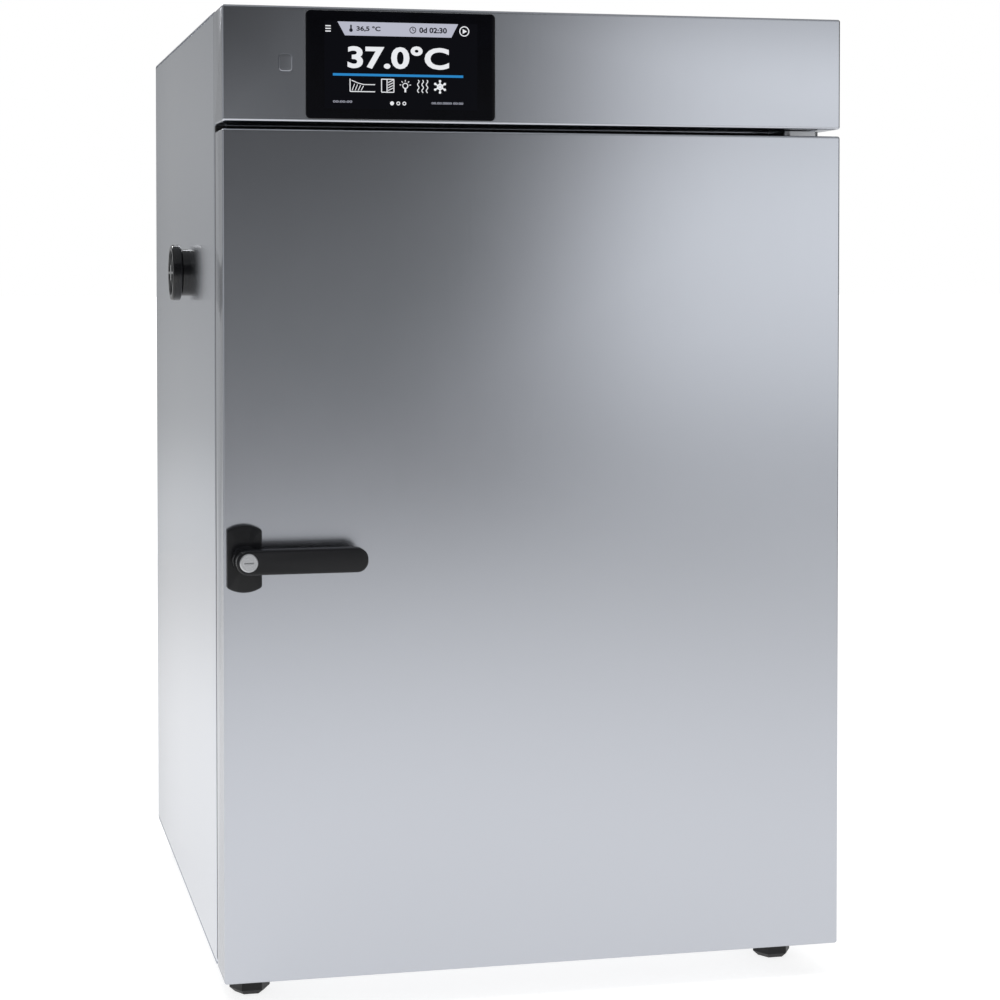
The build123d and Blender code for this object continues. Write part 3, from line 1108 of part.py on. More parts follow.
# Ring heater: a tubular element round the fan, with two tails through the rear wall.
HEATER_Y = CHAMBER_BACK - BAFFLE_DEPTH / 2
heater_start = math.radians(-90 - HEATER_GAP_ANGLE / 2)
heater_plane = Plane(
    origin=(MIDDLE, HEATER_Y, FAN_Z),
    x_dir=(math.cos(heater_start), 0, math.sin(heater_start)),
    z_dir=(-math.sin(heater_start), 0, math.cos(heater_start)),
)
with BuildPart() as ring_heater:
    with BuildSketch(heater_plane):
        with Locations((HEATER_RADIUS, 0)):
            Circle(HEATER_TUBE)
    revolve(axis=Axis((MIDDLE, HEATER_Y, FAN_Z), (0, 1, 0)), revolution_arc=360 - HEATER_GAP_ANGLE)
    for tail_x, tail_z in heater_places:
        with Locations((tail_x, HEATER_Y, tail_z)):
            Sphere(HEATER_ELBOW)
        rod_y(tail_x, tail_z, HEATER_TUBE, (HEATER_Y, BULKHEAD_BACK + HEATER_TAIL))
ring_heater.part.label = "ring_heater"
export_step(ring_heater.part, "parts/ring_heater.step")

# Temperature probes: two steel rods through the rear wall and the baffle, control and safety.
with BuildPart() as temperature_probes:
    for probe_x, probe_z in probe_places:
        rod_y(probe_x, probe_z, PROBE_RADIUS, (BAFFLE_FACE - PROBE_TIP, BULKHEAD_BACK + PROBE_TAIL))
    fillet(temperature_probes.faces().group_by(Axis.Y)[0].edges(), PROBE_RADIUS / 2)
temperature_probes.part.label = "temperature_probes"
export_step(temperature_probes.part, "parts/temperature_probes.step")

# Vent pipe: from the rear wall of the chamber out through the rear panel, with a hose spigot.
DAMPER_Y = BULKHEAD_BACK + DAMPER_BACK
with BuildPart() as vent_pipe:
    rod_y(VENT_X, VENT_Z, VENT_RADIUS, (CHAMBER_BACK, REAR))
    rod_y(VENT_X, VENT_Z, SPIGOT_RADIUS, (REAR, REAR + VENT_PROUD))
    rod_y(VENT_X, VENT_Z, VENT_BORE, (CHAMBER_BACK, REAR + VENT_PROUD), Mode.SUBTRACT)
    hole_z = (VENT_Z - VENT_RADIUS, VENT_Z + VENT_RADIUS)
    rod_z(VENT_X, DAMPER_Y, AXLE_RADIUS + RUN_GAP, hole_z, Mode.SUBTRACT)
vent_pipe.part.label = "vent_pipe"
export_step(vent_pipe.part, "parts/vent_pipe.step")

# Vent damper: a disc on an upright axle that closes the pipe.
with BuildPart() as vent_damper:
    disc_y = (DAMPER_Y - DAMPER_THICKNESS / 2, DAMPER_Y + DAMPER_THICKNESS / 2)
    rod_y(VENT_X, VENT_Z, VENT_BORE - DAMPER_GAP, disc_y)
    rod_z(VENT_X, DAMPER_Y, AXLE_RADIUS, (VENT_Z - VENT_RADIUS, VENT_Z + VENT_RADIUS + AXLE_STUB))
vent_damper.part.label = "vent_damper"
export_step(vent_damper.part, "parts/vent_damper.step")

# Damper actuator: a small gear motor on a tab from the bulkhead, bored for the damper's axle.
actuator_x = (VENT_X - ACTUATOR_WIDTH / 2, VENT_X + ACTUATOR_WIDTH / 2)
actuator_y = (DAMPER_Y - ACTUATOR_DEPTH / 2, DAMPER_Y + ACTUATOR_DEPTH / 2)
actuator_base = VENT_Z + VENT_RADIUS + SEAT_GAP
with BuildPart() as damper_actuator:
    block(actuator_x, actuator_y, (actuator_base, actuator_base + ACTUATOR_HEIGHT))
    fillet(damper_actuator.edges().filter_by(Axis.Z), MOUNT_SHEET)
    block(actuator_x, (BULKHEAD_BACK, DAMPER_Y), (actuator_base, actuator_base + MOUNT_SHEET))
    tab_y = (BULKHEAD_BACK, BULKHEAD_BACK + MOUNT_SHEET)
    block(actuator_x, tab_y, (actuator_base, actuator_base + ACTUATOR_HEIGHT))
    bore_z = (actuator_base, actuator_base + AXLE_STUB + MOUNT_SHEET)
    rod_z(VENT_X, DAMPER_Y, AXLE_RADIUS + RUN_GAP, bore_z, Mode.SUBTRACT)
damper_actuator.part.label = "damper_actuator"
export_step(damper_actuator.part, "parts/damper_actuator.step")

# Wall spacers: four black bumpers that keep the rear panel off the wall.
with BuildPart() as wall_spacers:
    for spacer_x, spacer_z in spacer_places:
        rod_y(spacer_x, spacer_z, SPACER_RADIUS, (REAR, REAR + SPACER_LENGTH))
        rod_y(spacer_x, spacer_z, SPACER_SPIGOT, (INNER_REAR - SPACER_TAIL, REAR))
    chamfer(wall_spacers.faces().group_by(Axis.Y)[-1].edges(), CAP_EDGE)
wall_spacers.part.label = "wall_spacers"
export_step(wall_spacers.part, "parts/wall_spacers.step")

# Power inlet: a panel socket with three pins and a bay for the fuse drawer.
INLET_FACE = REAR + INLET_FLANGE
SOCKET_Z = INLET_Z - SOCKET_DROP
DRAWER_Z = INLET_Z + DRAWER_RISE


def centred(middle, size):
    """The low and high limit of a size about its middle."""
    return (middle - size / 2, middle + size / 2)


with BuildPart() as power_inlet:
    rim = 2 * INLET_RIM
    block(centred(INLET_X, INLET_WIDTH + rim), (REAR, INLET_FACE), centred(INLET_Z, INLET_HEIGHT + rim))
    fillet(power_inlet.edges().filter_by(Axis.Y), INLET_RIM)
    block(centred(INLET_X, INLET_WIDTH), (REAR - INLET_DEPTH, REAR), centred(INLET_Z, INLET_HEIGHT))
    socket_y = (INLET_FACE - SOCKET_DEPTH, INLET_FACE)
    block(centred(INLET_X, SOCKET_WIDTH), socket_y, centred(SOCKET_Z, SOCKET_HEIGHT), Mode.SUBTRACT)
    for pin in (-1, 0, 1):
        pin_x = centred(INLET_X + pin * PIN_PITCH, PIN_BLADE / 2)
        pin_z = centred(SOCKET_Z - PIN_STEP / 2 + PIN_STEP * abs(1 - abs(pin)), PIN_BLADE)
        block(pin_x, (socket_y[0], INLET_FACE - INLET_FLANGE), pin_z)
    bay_y = (INLET_FACE - DRAWER_DEPTH, INLET_FACE)
    block(
        centred(INLET_X, DRAWER_WIDTH + 2 * SEAT_GAP), bay_y,
        centred(DRAWER_Z, DRAWER_HEIGHT + 2 * SEAT_GAP), Mode.SUBTRACT,
    )
power_inlet.part.label = "power_inlet"
export_step(power_inlet.part, "parts/power_inlet.step")

# Fuse drawer: slides out of the inlet towards the rear.
with BuildPart() as fuse_drawer:
    drawer_y = (bay_y[0] + SEAT_GAP, INLET_FACE + DRAWER_LIP)
    block(centred(INLET_X, DRAWER_WIDTH), drawer_y, centred(DRAWER_Z, DRAWER_HEIGHT))
    fillet(fuse_drawer.faces().sort_by(Axis.Y)[-1].edges(), DRAWER_LIP / 3)
fuse_drawer.part.label = "fuse_drawer"
export_step(fuse_drawer.part, "parts/fuse_drawer.step")

# Data port: a square network socket beside the inlet.
with BuildPart() as data_port:
    port_y = (REAR - DATA_DEPTH, REAR + DATA_WALL / 2)
    block(centred(DATA_X, DATA_WIDTH), port_y, centred(INLET_Z, DATA_HEIGHT))
    offset(amount=-DATA_WALL, openings=data_port.faces().sort_by(Axis.Y)[-1])
data_port.part.label = "data_port"
export_step(data_port.part, "parts/data_port.step")

# Control board: a circuit board on posts with its transformer, relays, capacitors and terminals.
board_x = (LEFT + BOARD_INSET, LEFT + BOARD_INSET + BOARD_WIDTH)
board_y = (BODY + BOARD_INSET, BODY + BOARD_INSET + BOARD_DEPTH)
board_z = TRAY_FLOOR + BOARD_POST
board_top = board_z + BOARD_THICKNESS
board_centre = ((board_x[0] + board_x[1]) / 2, (board_y[0] + board_y[1]) / 2)
with BuildPart() as control_board:
    block(board_x, board_y, (board_z, board_top))
    with BuildSketch(Plane.XY.offset(TRAY_FLOOR)):
        with Locations(board_centre):
            with GridLocations(BOARD_WIDTH - 2 * BOARD_POST, BOARD_DEPTH - 2 * BOARD_POST, 2, 2):
                Circle(BOARD_POST / 3)
    extrude(amount=BOARD_POST)
    with BuildSketch(Plane.XY.offset(board_top)):
        with Locations((board_x[0] + BOARD_WIDTH / 5, board_centre[1])):
            Rectangle(BOARD_WIDTH / 5, BOARD_DEPTH / 4)
    extrude(amount=BOARD_WIDTH / 7)
    with BuildSketch(Plane.XY.offset(board_top)):
        with Locations(board_centre):
            with GridLocations(BOARD_WIDTH / 8, 1, 3, 1):
                Circle(BOARD_POST)
    extrude(amount=BOARD_WIDTH / 9)
    with BuildSketch(Plane.XY.offset(board_top)):
        with Locations((board_centre[0], board_y[1] - BOARD_DEPTH / 8)):
            with GridLocations(BOARD_WIDTH / 5, 1, 4, 1):
                Rectangle(BOARD_WIDTH / 7, BOARD_DEPTH / 10)
        with Locations((board_centre[0], board_y[0] + BOARD_DEPTH / 8)):
            Rectangle(BOARD_WIDTH * 0.7, BOARD_DEPTH / 12)
    extrude(amount=BOARD_WIDTH / 15)
control_board.part.label = "control_board"
export_step(control_board.part, "parts/control_board.step")

# Power supply: a vented metal case on the tray.
supply_x = (board_x[1] + BOARD_INSET / 3, board_x[1] + BOARD_INSET / 3 + SUPPLY_WIDTH)
supply_y = (board_y[0], board_y[0] + SUPPLY_DEPTH)
with BuildPart() as power_supply:
    block(supply_x, supply_y, (TRAY_FLOOR, TRAY_FLOOR + SUPPLY_HEIGHT))
    with BuildSketch(Plane.XY.offset(TRAY_FLOOR + SUPPLY_HEIGHT)):
        with Locations(((supply_x[0] + supply_x[1]) / 2, (supply_y[0] + supply_y[1]) / 2)):
            with GridLocations(1, SUPPLY_DEPTH / 12, 1, 9):
                Rectangle(SUPPLY_WIDTH * 0.7, SUPPLY_DEPTH / 30)
    extrude(amount=-SHEET, mode=Mode.SUBTRACT)
power_supply.part.label = "power_supply"
export_step(power_supply.part, "parts/power_supply.step")

# Solid state relay: a switch block on a heat sink whose fins stand on the tray.
relay_x = (supply_x[1] + BOARD_INSET / 3, supply_x[1] + BOARD_INSET / 3 + RELAY_WIDTH)
relay_y = (board_y[0], board_y[0] + RELAY_DEPTH)
fin_top = TRAY_FLOOR + RELAY_FIN_HEIGHT
fin_pitch = (RELAY_WIDTH - SHEET) / (RELAY_FINS - 1)
with BuildPart() as solid_state_relay:
    block(relay_x, relay_y, (fin_top, fin_top + RELAY_BASE))
    for fin in range(RELAY_FINS):
        fin_x = relay_x[0] + fin * fin_pitch
        block((fin_x, fin_x + SHEET), relay_y, (TRAY_FLOOR, fin_top))
    relay_top = fin_top + RELAY_BASE
    relay_centre = ((relay_x[0] + relay_x[1]) / 2, (relay_y[0] + relay_y[1]) / 2)
    block(
        centred(relay_centre[0], RELAY_WIDTH * 0.75), centred(relay_centre[1], RELAY_DEPTH * 0.65),
        (relay_top, relay_top + RELAY_FIN_HEIGHT * 0.65),
    )
solid_state_relay.part.label = "solid_state_relay"
export_step(solid_state_relay.part, "parts/solid_state_relay.step")

# Panel screws: low round heads on the rear panel, in two columns.
with BuildPart() as panel_screws:
    for screw_x, screw_z in rear_screw_places:
        rod_y(screw_x, screw_z, SCREW_HEAD_RADIUS, (REAR, REAR + SCREW_HEAD))
        rod_y(screw_x, screw_z, SCREW_RADIUS, (REAR - SCREW_LENGTH, REAR))
panel_screws.part.label = "panel_screws"
export_step(panel_screws.part, "parts/panel_screws.step")
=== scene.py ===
import math

import bmesh
import bpy
from mathutils import Matrix, Vector


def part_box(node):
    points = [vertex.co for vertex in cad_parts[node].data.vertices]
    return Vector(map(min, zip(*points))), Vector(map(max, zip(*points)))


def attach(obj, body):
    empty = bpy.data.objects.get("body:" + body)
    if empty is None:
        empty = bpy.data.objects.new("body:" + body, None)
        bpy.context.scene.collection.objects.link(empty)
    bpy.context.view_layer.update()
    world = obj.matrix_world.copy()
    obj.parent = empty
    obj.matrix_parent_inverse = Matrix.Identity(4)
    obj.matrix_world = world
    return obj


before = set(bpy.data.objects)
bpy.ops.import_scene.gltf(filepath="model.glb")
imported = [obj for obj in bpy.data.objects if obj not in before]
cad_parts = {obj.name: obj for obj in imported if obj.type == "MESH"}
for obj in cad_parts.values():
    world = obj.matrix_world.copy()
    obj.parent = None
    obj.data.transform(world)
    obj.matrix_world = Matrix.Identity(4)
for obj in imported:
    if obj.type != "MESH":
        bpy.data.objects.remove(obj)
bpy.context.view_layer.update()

# Outer cabinet: side panels, top cover, base pan, rear panel and front frame.
# The real sheets are 1.5 mm stainless steel with a fine satin grain, cut, folded over a 2.5 mm
# edge and screwed or spot welded together. The side panels get a lighter copy: painted light.
STEEL_TINT = (0.592, 0.612, 0.662, 1.0)
SIDE_PAINTED_LIGHT_TINT = (0.735, 0.758, 0.812, 1.0)
SATIN = 0.21
GRAIN_ACROSS = 0.0004
GRAIN_ALONG = 0.05
GRAIN_HEIGHT = 0.001
CLOUDS_PER_METRE = 5.0
GLOSS_SWING = 0.25
SHARP_ANGLE = math.radians(32)
WELD_LIMIT = 1e-6


def add(tree, kind, inputs=None, **settings):
    """Adds a shader node with its settings, and gives its inputs values or links."""
    made = tree.nodes.new(kind)
    for key, value in settings.items():
        setattr(made, key, value)
    for key, value in (inputs or {}).items():
        if isinstance(value, bpy.types.NodeSocket):
            tree.links.new(value, made.inputs[key])
        else:
            made.inputs[key].default_value = value
    return made


def new_group(name, takes, gives):
    """Starts a shader node group with named inputs and outputs."""
    tree = bpy.data.node_groups.new(name, "ShaderNodeTree")
    for socket, (kind, value) in takes.items():
        made = tree.interface.new_socket(socket, in_out="INPUT", socket_type="NodeSocket" + kind)
        made.default_value = value
    for socket, kind in gives.items():
        tree.interface.new_socket(socket, in_out="OUTPUT", socket_type="NodeSocket" + kind)
    return tree, tree.nodes.new("NodeGroupInput").outputs, tree.nodes.new("NodeGroupOutput").inputs


def new_material(name):
    """Starts a material, and gives it with its tree, its shader and the place on the piece."""
    material = bpy.data.materials.new(name)
    material.use_nodes = True
    tree = material.node_tree
    place = add(tree, "ShaderNodeTexCoord").outputs["Object"]
    return material, tree, tree.nodes["Principled BSDF"], place


def shaded(tree, tint, level):
    """A tint that a changing level makes lighter and darker."""
    grey = add(tree, "ShaderNodeCombineXYZ", {axis: level for axis in "XYZ"})
    tinted = add(tree, "ShaderNodeVectorMath", {0: tint, 1: grey.outputs[0]}, operation="MULTIPLY")
    return tinted.outputs[0]


def grain_group():
    """Brushed metal: fine streaks along one direction, under broad soft clouds."""
    tree, takes, gives = new_group(
        "brushed_grain",
        {"Place": ("Vector", (0, 0, 0)), "Stretch": ("Vector", (1, 1, 1)), "Tint": ("Color", (1, 1, 1, 1)),
         "Depth": ("Float", 0.05), "Roughness": ("Float", 0.2)},
        {"Color": "Color", "Roughness": "Float", "Height": "Float"},
    )
    along = add(tree, "ShaderNodeVectorMath", {0: takes["Place"], 1: takes["Stretch"]}, operation="MULTIPLY")
    streaks = add(tree, "ShaderNodeTexNoise", {"Vector": along.outputs[0], "Scale": 1.0, "Detail": 3.0})
    clouds = add(tree, "ShaderNodeTexNoise", {
        "Vector": takes["Place"], "Scale": CLOUDS_PER_METRE, "Detail": 4.0})
    both = add(tree, "ShaderNodeMath", {0: streaks.outputs[0], 1: clouds.outputs[0]}, operation="ADD")
    swing = add(tree, "ShaderNodeMath", {0: both.outputs[0], 1: 1.0}, operation="SUBTRACT")
    level = add(tree, "ShaderNodeMath", {0: swing.outputs[0], 1: takes["Depth"], 2: 1.0},
                operation="MULTIPLY_ADD")
    tree.links.new(shaded(tree, takes["Tint"], level.outputs[0]), gives["Color"])
    rough = add(tree, "ShaderNodeMath", {0: both.outputs[0], 1: GLOSS_SWING, 2: 1 - GLOSS_SWING},
                operation="MULTIPLY_ADD")
    scaled = add(tree, "ShaderNodeMath", {0: rough.outputs[0], 1: takes["Roughness"]}, operation="MULTIPLY")
    tree.links.new(scaled.outputs[0], gives["Roughness"])
    tree.links.new(streaks.outputs[0], gives["Height"])
    return tree


GRAIN = grain_group()


def brushed(name, direction, tint=STEEL_TINT, roughness=SATIN, depth=0.03, relief=0.012):
    """Satin sheet metal with its grain along a direction: X, Y or Z."""
    material, tree, shader, place = new_material(name)
    stretch = [1 / (GRAIN_ALONG if axis == direction else GRAIN_ACROSS) for axis in "XYZ"]
    grain = add(tree, "ShaderNodeGroup", {
        "Place": place, "Stretch": stretch, "Tint": tint, "Depth": depth, "Roughness": roughness,
    }, node_tree=GRAIN).outputs
    bump = add(tree, "ShaderNodeBump", {
        "Height": grain["Height"], "Strength": relief, "Distance": GRAIN_HEIGHT})
    tree.links.new(grain["Color"], shader.inputs["Base Color"])
    tree.links.new(grain["Roughness"], shader.inputs["Roughness"])
    tree.links.new(bump.outputs[0], shader.inputs["Normal"])
    shader.inputs["Metallic"].default_value = 1.0
    return material


def smooth_faces(piece):
    """Shades round faces smoothly and keeps the sharp edges."""
    piece.data.polygons.foreach_set("use_smooth", [True] * len(piece.data.polygons))
    weld = piece.modifiers.new("weld", "WELD")
    weld.merge_threshold = WELD_LIMIT
    split = piece.modifiers.new("split", "EDGE_SPLIT")
    split.split_angle = SHARP_ANGLE


def finish_node(names, material):
    """Gives nodes of the frame their material and smooth shading."""
    for name in names:
        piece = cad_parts[name]
        piece.data.materials.clear()
        piece.data.materials.append(material)
        smooth_faces(piece)


steel_upright = brushed("satin_steel_upright", "Z")
steel_across = brushed("satin_steel_across", "X")
steel_deep = brushed("satin_steel_deep", "Y")
# Painted light: a lighter tint of the same steel makes the side panels show brighter.
side_metal_painted_light = brushed("satin_steel_painted_light_side", "Y", SIDE_PAINTED_LIGHT_TINT)
finish_node(["side_panel_left", "side_panel_right"], side_metal_painted_light)
finish_node(["top_cover", "base_pan"], steel_deep)
finish_node(["rear_panel", "front_frame"], steel_across)

# Chamber: liner, air baffle, fan, fan shaft, probes, shelf uprights, runners and wire shelves.
# The liner is thin bright-annealed stainless sheet welded into a box; the uprights and runners
# are pressed from the same sheet, and the shelves are polished round wire, welded at each crossing.
BRIGHT_TINT = (0.640, 0.645, 0.655, 1.0)
chamber_steel = brushed("bright_annealed_steel", "Y", BRIGHT_TINT, roughness=0.27, depth=0.05, relief=0.02)
baffle_steel = brushed("bright_baffle_steel", "X", BRIGHT_TINT, roughness=0.24, depth=0.05, relief=0.02)
wire_steel = brushed("polished_wire", "Y", BRIGHT_TINT, roughness=0.14, depth=0.04, relief=0.01)
finish_node(["chamber_liner", "shelf_uprights", "shelf_runners"], chamber_steel)
finish_node(["air_baffle", "fan_impeller", "temperature_probes"], baffle_steel)
finish_node(["shelf_lower", "shelf_upper", "fan_shaft"], wire_steel)

# Zinc coated pieces: bulkhead, tray, motor mount, latch, hinge blocks, nuts, screws and vent.
# They are hot-dip galvanised steel, cut, folded or turned, with the zinc's crystal pattern still
# showing.
ZINC_TINT = (0.52, 0.54, 0.56, 1.0)
CRYSTALS_PER_METRE = 160.0


def ranged(tree, value, low, high, start=0.0, end=1.0, change="LINEAR"):
    """Turns a value that runs from start to end into one that runs from low to high."""
    return add(tree, "ShaderNodeMapRange", {0: value, 1: start, 2: end, 3: low, 4: high},
               interpolation_type=change).outputs[0]


def galvanised(name):
    """Zinc coated steel with crystals a few millimetres across."""
    material, tree, shader, place = new_material(name)
    crystals = add(tree, "ShaderNodeTexVoronoi", {
        "Vector": place, "Scale": CRYSTALS_PER_METRE, "Randomness": 1.0}).outputs["Color"]
    shade = ranged(tree, crystals, 0.8, 1.1)
    tree.links.new(shaded(tree, ZINC_TINT[:3], shade), shader.inputs["Base Color"])
    tree.links.new(ranged(tree, crystals, 0.32, 0.5), shader.inputs["Roughness"])
    shader.inputs["Metallic"].default_value = 1.0
    return material


zinc_sheet = galvanised("galvanised_sheet")
finish_node(["bulkhead", "electronics_tray", "motor_mount", "latch_case", "latch_keeper", "hinge_blocks",
             "foot_nuts", "panel_screws", "vent_pipe", "vent_damper"], zinc_sheet)

# Door and control fascia: skin, inner panel, hinge brackets, pins, bushes and latch spindle.
# Skin and fascia are folded sheets, satin ground from top to bottom; the inner panel has a pressed
# pad that plugs the chamber mouth, and the brackets are laser-cut plate with turned pins.
PLATE_TINT = (0.50, 0.505, 0.52, 1.0)
BUSH_TINT = (0.62, 0.46, 0.20, 1.0)
hinge_steel = brushed("ground_plate", "X", PLATE_TINT, roughness=0.30, depth=0.08, relief=0.03)
bush_metal = brushed("bush_metal", "Z", BUSH_TINT, roughness=0.30, depth=0.08, relief=0.03)
finish_node(["door_skin", "control_fascia", "door_inner_panel"], steel_upright)
finish_node(["hinge_bracket_upper", "hinge_bracket_lower", "hinge_pins", "latch_spindle"], hinge_steel)
finish_node(["hinge_bushes"], bush_metal)

# Mineral wool: boards in the walls and in the door.
# Pressed fibre boards, cut to size and pushed between the sheets, buff with darker strands.
WOOL_TINT = (0.52, 0.44, 0.26, 1.0)
WOOL_DARK = (0.30, 0.25, 0.14, 1.0)
WOOL_ROUGHNESS = 0.95
STRANDS_PER_METRE = 420.0
STRAND_HEIGHT = 0.002


def wool(name):
    """Fibre board: tangled strands, rough and matt."""
    material, tree, shader, place = new_material(name)
    strands = add(tree, "ShaderNodeTexNoise", {
        "Vector": place, "Scale": STRANDS_PER_METRE, "Detail": 6.0, "Distortion": 2.5}).outputs[0]
    colour = add(tree, "ShaderNodeMix", {0: strands, 6: WOOL_DARK, 7: WOOL_TINT}, data_type="RGBA")
    bump = add(tree, "ShaderNodeBump", {"Height": strands, "Strength": 0.8, "Distance": STRAND_HEIGHT})
    tree.links.new(colour.outputs[2], shader.inputs["Base Color"])
    tree.links.new(bump.outputs[0], shader.inputs["Normal"])
    shader.inputs["Roughness"].default_value = WOOL_ROUGHNESS
    return material


finish_node(["insulation_boards", "door_insulation"], wool("mineral_wool"))

# Black mouldings: handle, its plate, port sleeve and cap, feet, inlet, data port, switch, actuator.
# Glass-filled nylon, injection moulded with a fine grained skin and a soft sheen along its rounded
# edges. The port's sleeve and cap are glossier, and the feet are duller.
NYLON_TINT = (0.0062, 0.0065, 0.0078, 1.0)
GLOSS_TINT = (0.0050, 0.0052, 0.0060, 1.0)
FOOT_TINT = (0.006, 0.006, 0.007, 1.0)
SKIN_GRAIN = 0.0006
SKIN_HEIGHT = 0.0003
GLOSS_CHANGES_PER_METRE = 60.0


def skin_group():
    """Moulded skin: a fine even grain under broad changes of gloss."""
    tree, takes, gives = new_group(
        "moulded_skin",
        {"Place": ("Vector", (0, 0, 0)), "Grain": ("Float", SKIN_GRAIN), "Tint": ("Color", (0, 0, 0, 1)),
         "Roughness": ("Float", 0.4), "Spread": ("Float", 0.15)},
        {"Color": "Color", "Roughness": "Float", "Height": "Float"},
    )
    count = add(tree, "ShaderNodeMath", {0: 1.0, 1: takes["Grain"]}, operation="DIVIDE")
    fine = add(tree, "ShaderNodeTexNoise", {
        "Vector": takes["Place"], "Scale": count.outputs[0], "Detail": 2.0})
    broad = add(tree, "ShaderNodeTexNoise", {
        "Vector": takes["Place"], "Scale": GLOSS_CHANGES_PER_METRE, "Detail": 3.0})
    swing = add(tree, "ShaderNodeMath", {0: broad.outputs[0], 1: 0.5}, operation="SUBTRACT")
    change = add(tree, "ShaderNodeMath", {0: swing.outputs[0], 1: takes["Spread"], 2: 1.0},
                 operation="MULTIPLY_ADD")
    rough = add(tree, "ShaderNodeMath", {0: takes["Roughness"], 1: change.outputs[0]}, operation="MULTIPLY")
    fleck = ranged(tree, fine.outputs[0], 0.85, 1.35, start=0.35, end=0.75)
    tree.links.new(shaded(tree, takes["Tint"], fleck), gives["Color"])
    tree.links.new(rough.outputs[0], gives["Roughness"])
    tree.links.new(fine.outputs[0], gives["Height"])
    return tree


SKIN = skin_group()


def moulded(name, tint, roughness, grain=SKIN_GRAIN, relief=0.08, spread=0.3, gloss=0.5):
    """Moulded plastic or rubber."""
    material, tree, shader, place = new_material(name)
    skin = add(tree, "ShaderNodeGroup", {
        "Place": place, "Grain": grain, "Tint": tint, "Roughness": roughness, "Spread": spread,
    }, node_tree=SKIN).outputs
    bump = add(tree, "ShaderNodeBump", {
        "Height": skin["Height"], "Strength": relief, "Distance": SKIN_HEIGHT})
    shader.inputs["Specular IOR Level"].default_value = gloss
    tree.links.new(skin["Color"], shader.inputs["Base Color"])
    tree.links.new(skin["Roughness"], shader.inputs["Roughness"])
    tree.links.new(bump.outputs[0], shader.inputs["Normal"])
    return material


nylon = moulded("black_nylon", NYLON_TINT, roughness=0.20, relief=0.04, gloss=0.36)
gloss_nylon = moulded("glossy_nylon", GLOSS_TINT, roughness=0.15, relief=0.03)
foot_plastic = moulded("foot_plastic", FOOT_TINT, roughness=0.42)
finish_node(["handle_plate", "handle_lever", "power_inlet", "fuse_drawer", "data_port", "damper_actuator",
             "button_switch"], nylon)
finish_node(["port_cap", "port_sleeve"], gloss_nylon)
finish_node(["foot_front_left", "foot_front_right", "foot_rear_left", "foot_rear_right"], foot_plastic)

# Rubber: door gasket and wall spacers; black strips in the slots over and beside the door.
# The gasket is extruded silicone, joined at its corners; the spacers are moulded rubber pushed
# into holes in the rear panel; the strips are black pieces that paint the shade in those gaps.
GASKET_TINT = (0.045, 0.046, 0.05, 1.0)
RUBBER_TINT = (0.012, 0.012, 0.013, 1.0)
STRIP_PROUD = 0.0045
STRIP_CLEARANCE = 0.0006
STRIP_INSET = 0.0060
STRIP_ROUND = 0.0009
gasket_rubber = moulded("silicone_rubber", GASKET_TINT, roughness=0.62, relief=0.15)
# The spacers' rubber also makes the strips of painted shade in the gaps.
black_rubber_and_gap_shade = moulded("black_rubber_and_gap_shade", RUBBER_TINT, roughness=0.7, relief=0.2)
finish_node(["door_gasket"], gasket_rubber)
finish_node(["wall_spacers"], black_rubber_and_gap_shade)


def make_piece(name, shape, material):
    """Turns a finished bmesh into an object of the scene, made of one material."""
    mesh = bpy.data.meshes.new(name)
    shape.to_mesh(mesh)
    shape.free()
    mesh.materials.append(material)
    piece = bpy.data.objects.new(name, mesh)
    bpy.context.scene.collection.objects.link(piece)
    return piece


def gap_shade_strip(name, low, high):
    """A dark strip with rounded edges that fills a box in a gap, paints its shade and stays with the
    cabinet.
    """
    strip = bmesh.new()
    bmesh.ops.create_cube(strip, size=1.0)
    bmesh.ops.scale(strip, verts=strip.verts, vec=high - low)
    bmesh.ops.translate(strip, verts=strip.verts, vec=(low + high) / 2)
    bmesh.ops.bevel(strip, geom=strip.edges, offset=STRIP_ROUND, segments=3, profile=0.5, affect="EDGES",
                    material=-1)
    piece = make_piece(name, strip, black_rubber_and_gap_shade)
    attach(piece, "cabinet")


frame_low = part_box("front_frame")[0]
fascia_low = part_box("control_fascia")[0]
skin_low, skin_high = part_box("door_skin")
panel_low, panel_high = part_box("side_panel_left")
bracket_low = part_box("hinge_bracket_upper")[0]
# Painted shade: dark strips in the slot over the door and in the seam beside it, where only shade falls.
gap_shade_strip(
    "slot_painted_shade",
    Vector((panel_high.x + STRIP_CLEARANCE, frame_low.y - STRIP_PROUD, skin_high.z + STRIP_CLEARANCE)),
    Vector((bracket_low.x - STRIP_CLEARANCE, frame_low.y, fascia_low.z - STRIP_CLEARANCE)),
)
gap_shade_strip(
    "lock_side_painted_shade",
    Vector((panel_low.x + STRIP_CLEARANCE, panel_low.y - 2 * STRIP_PROUD, skin_low.z + STRIP_INSET)),
    Vector((panel_high.x - STRIP_CLEARANCE, panel_low.y, fascia_low.z - STRIP_CLEARANCE)),
)

# Lock barrel and power button.
# The lock is turned steel, nickel plated, with rings left by the tool on its face; the button is a
# satin steel key in a close hole of the fascia.
NICKEL_TINT = (0.66, 0.67, 0.69, 1.0)
LOCK_ROUGHNESS = 0.28
LOCK_RING = 0.0004
RING_HEIGHT = 0.0002


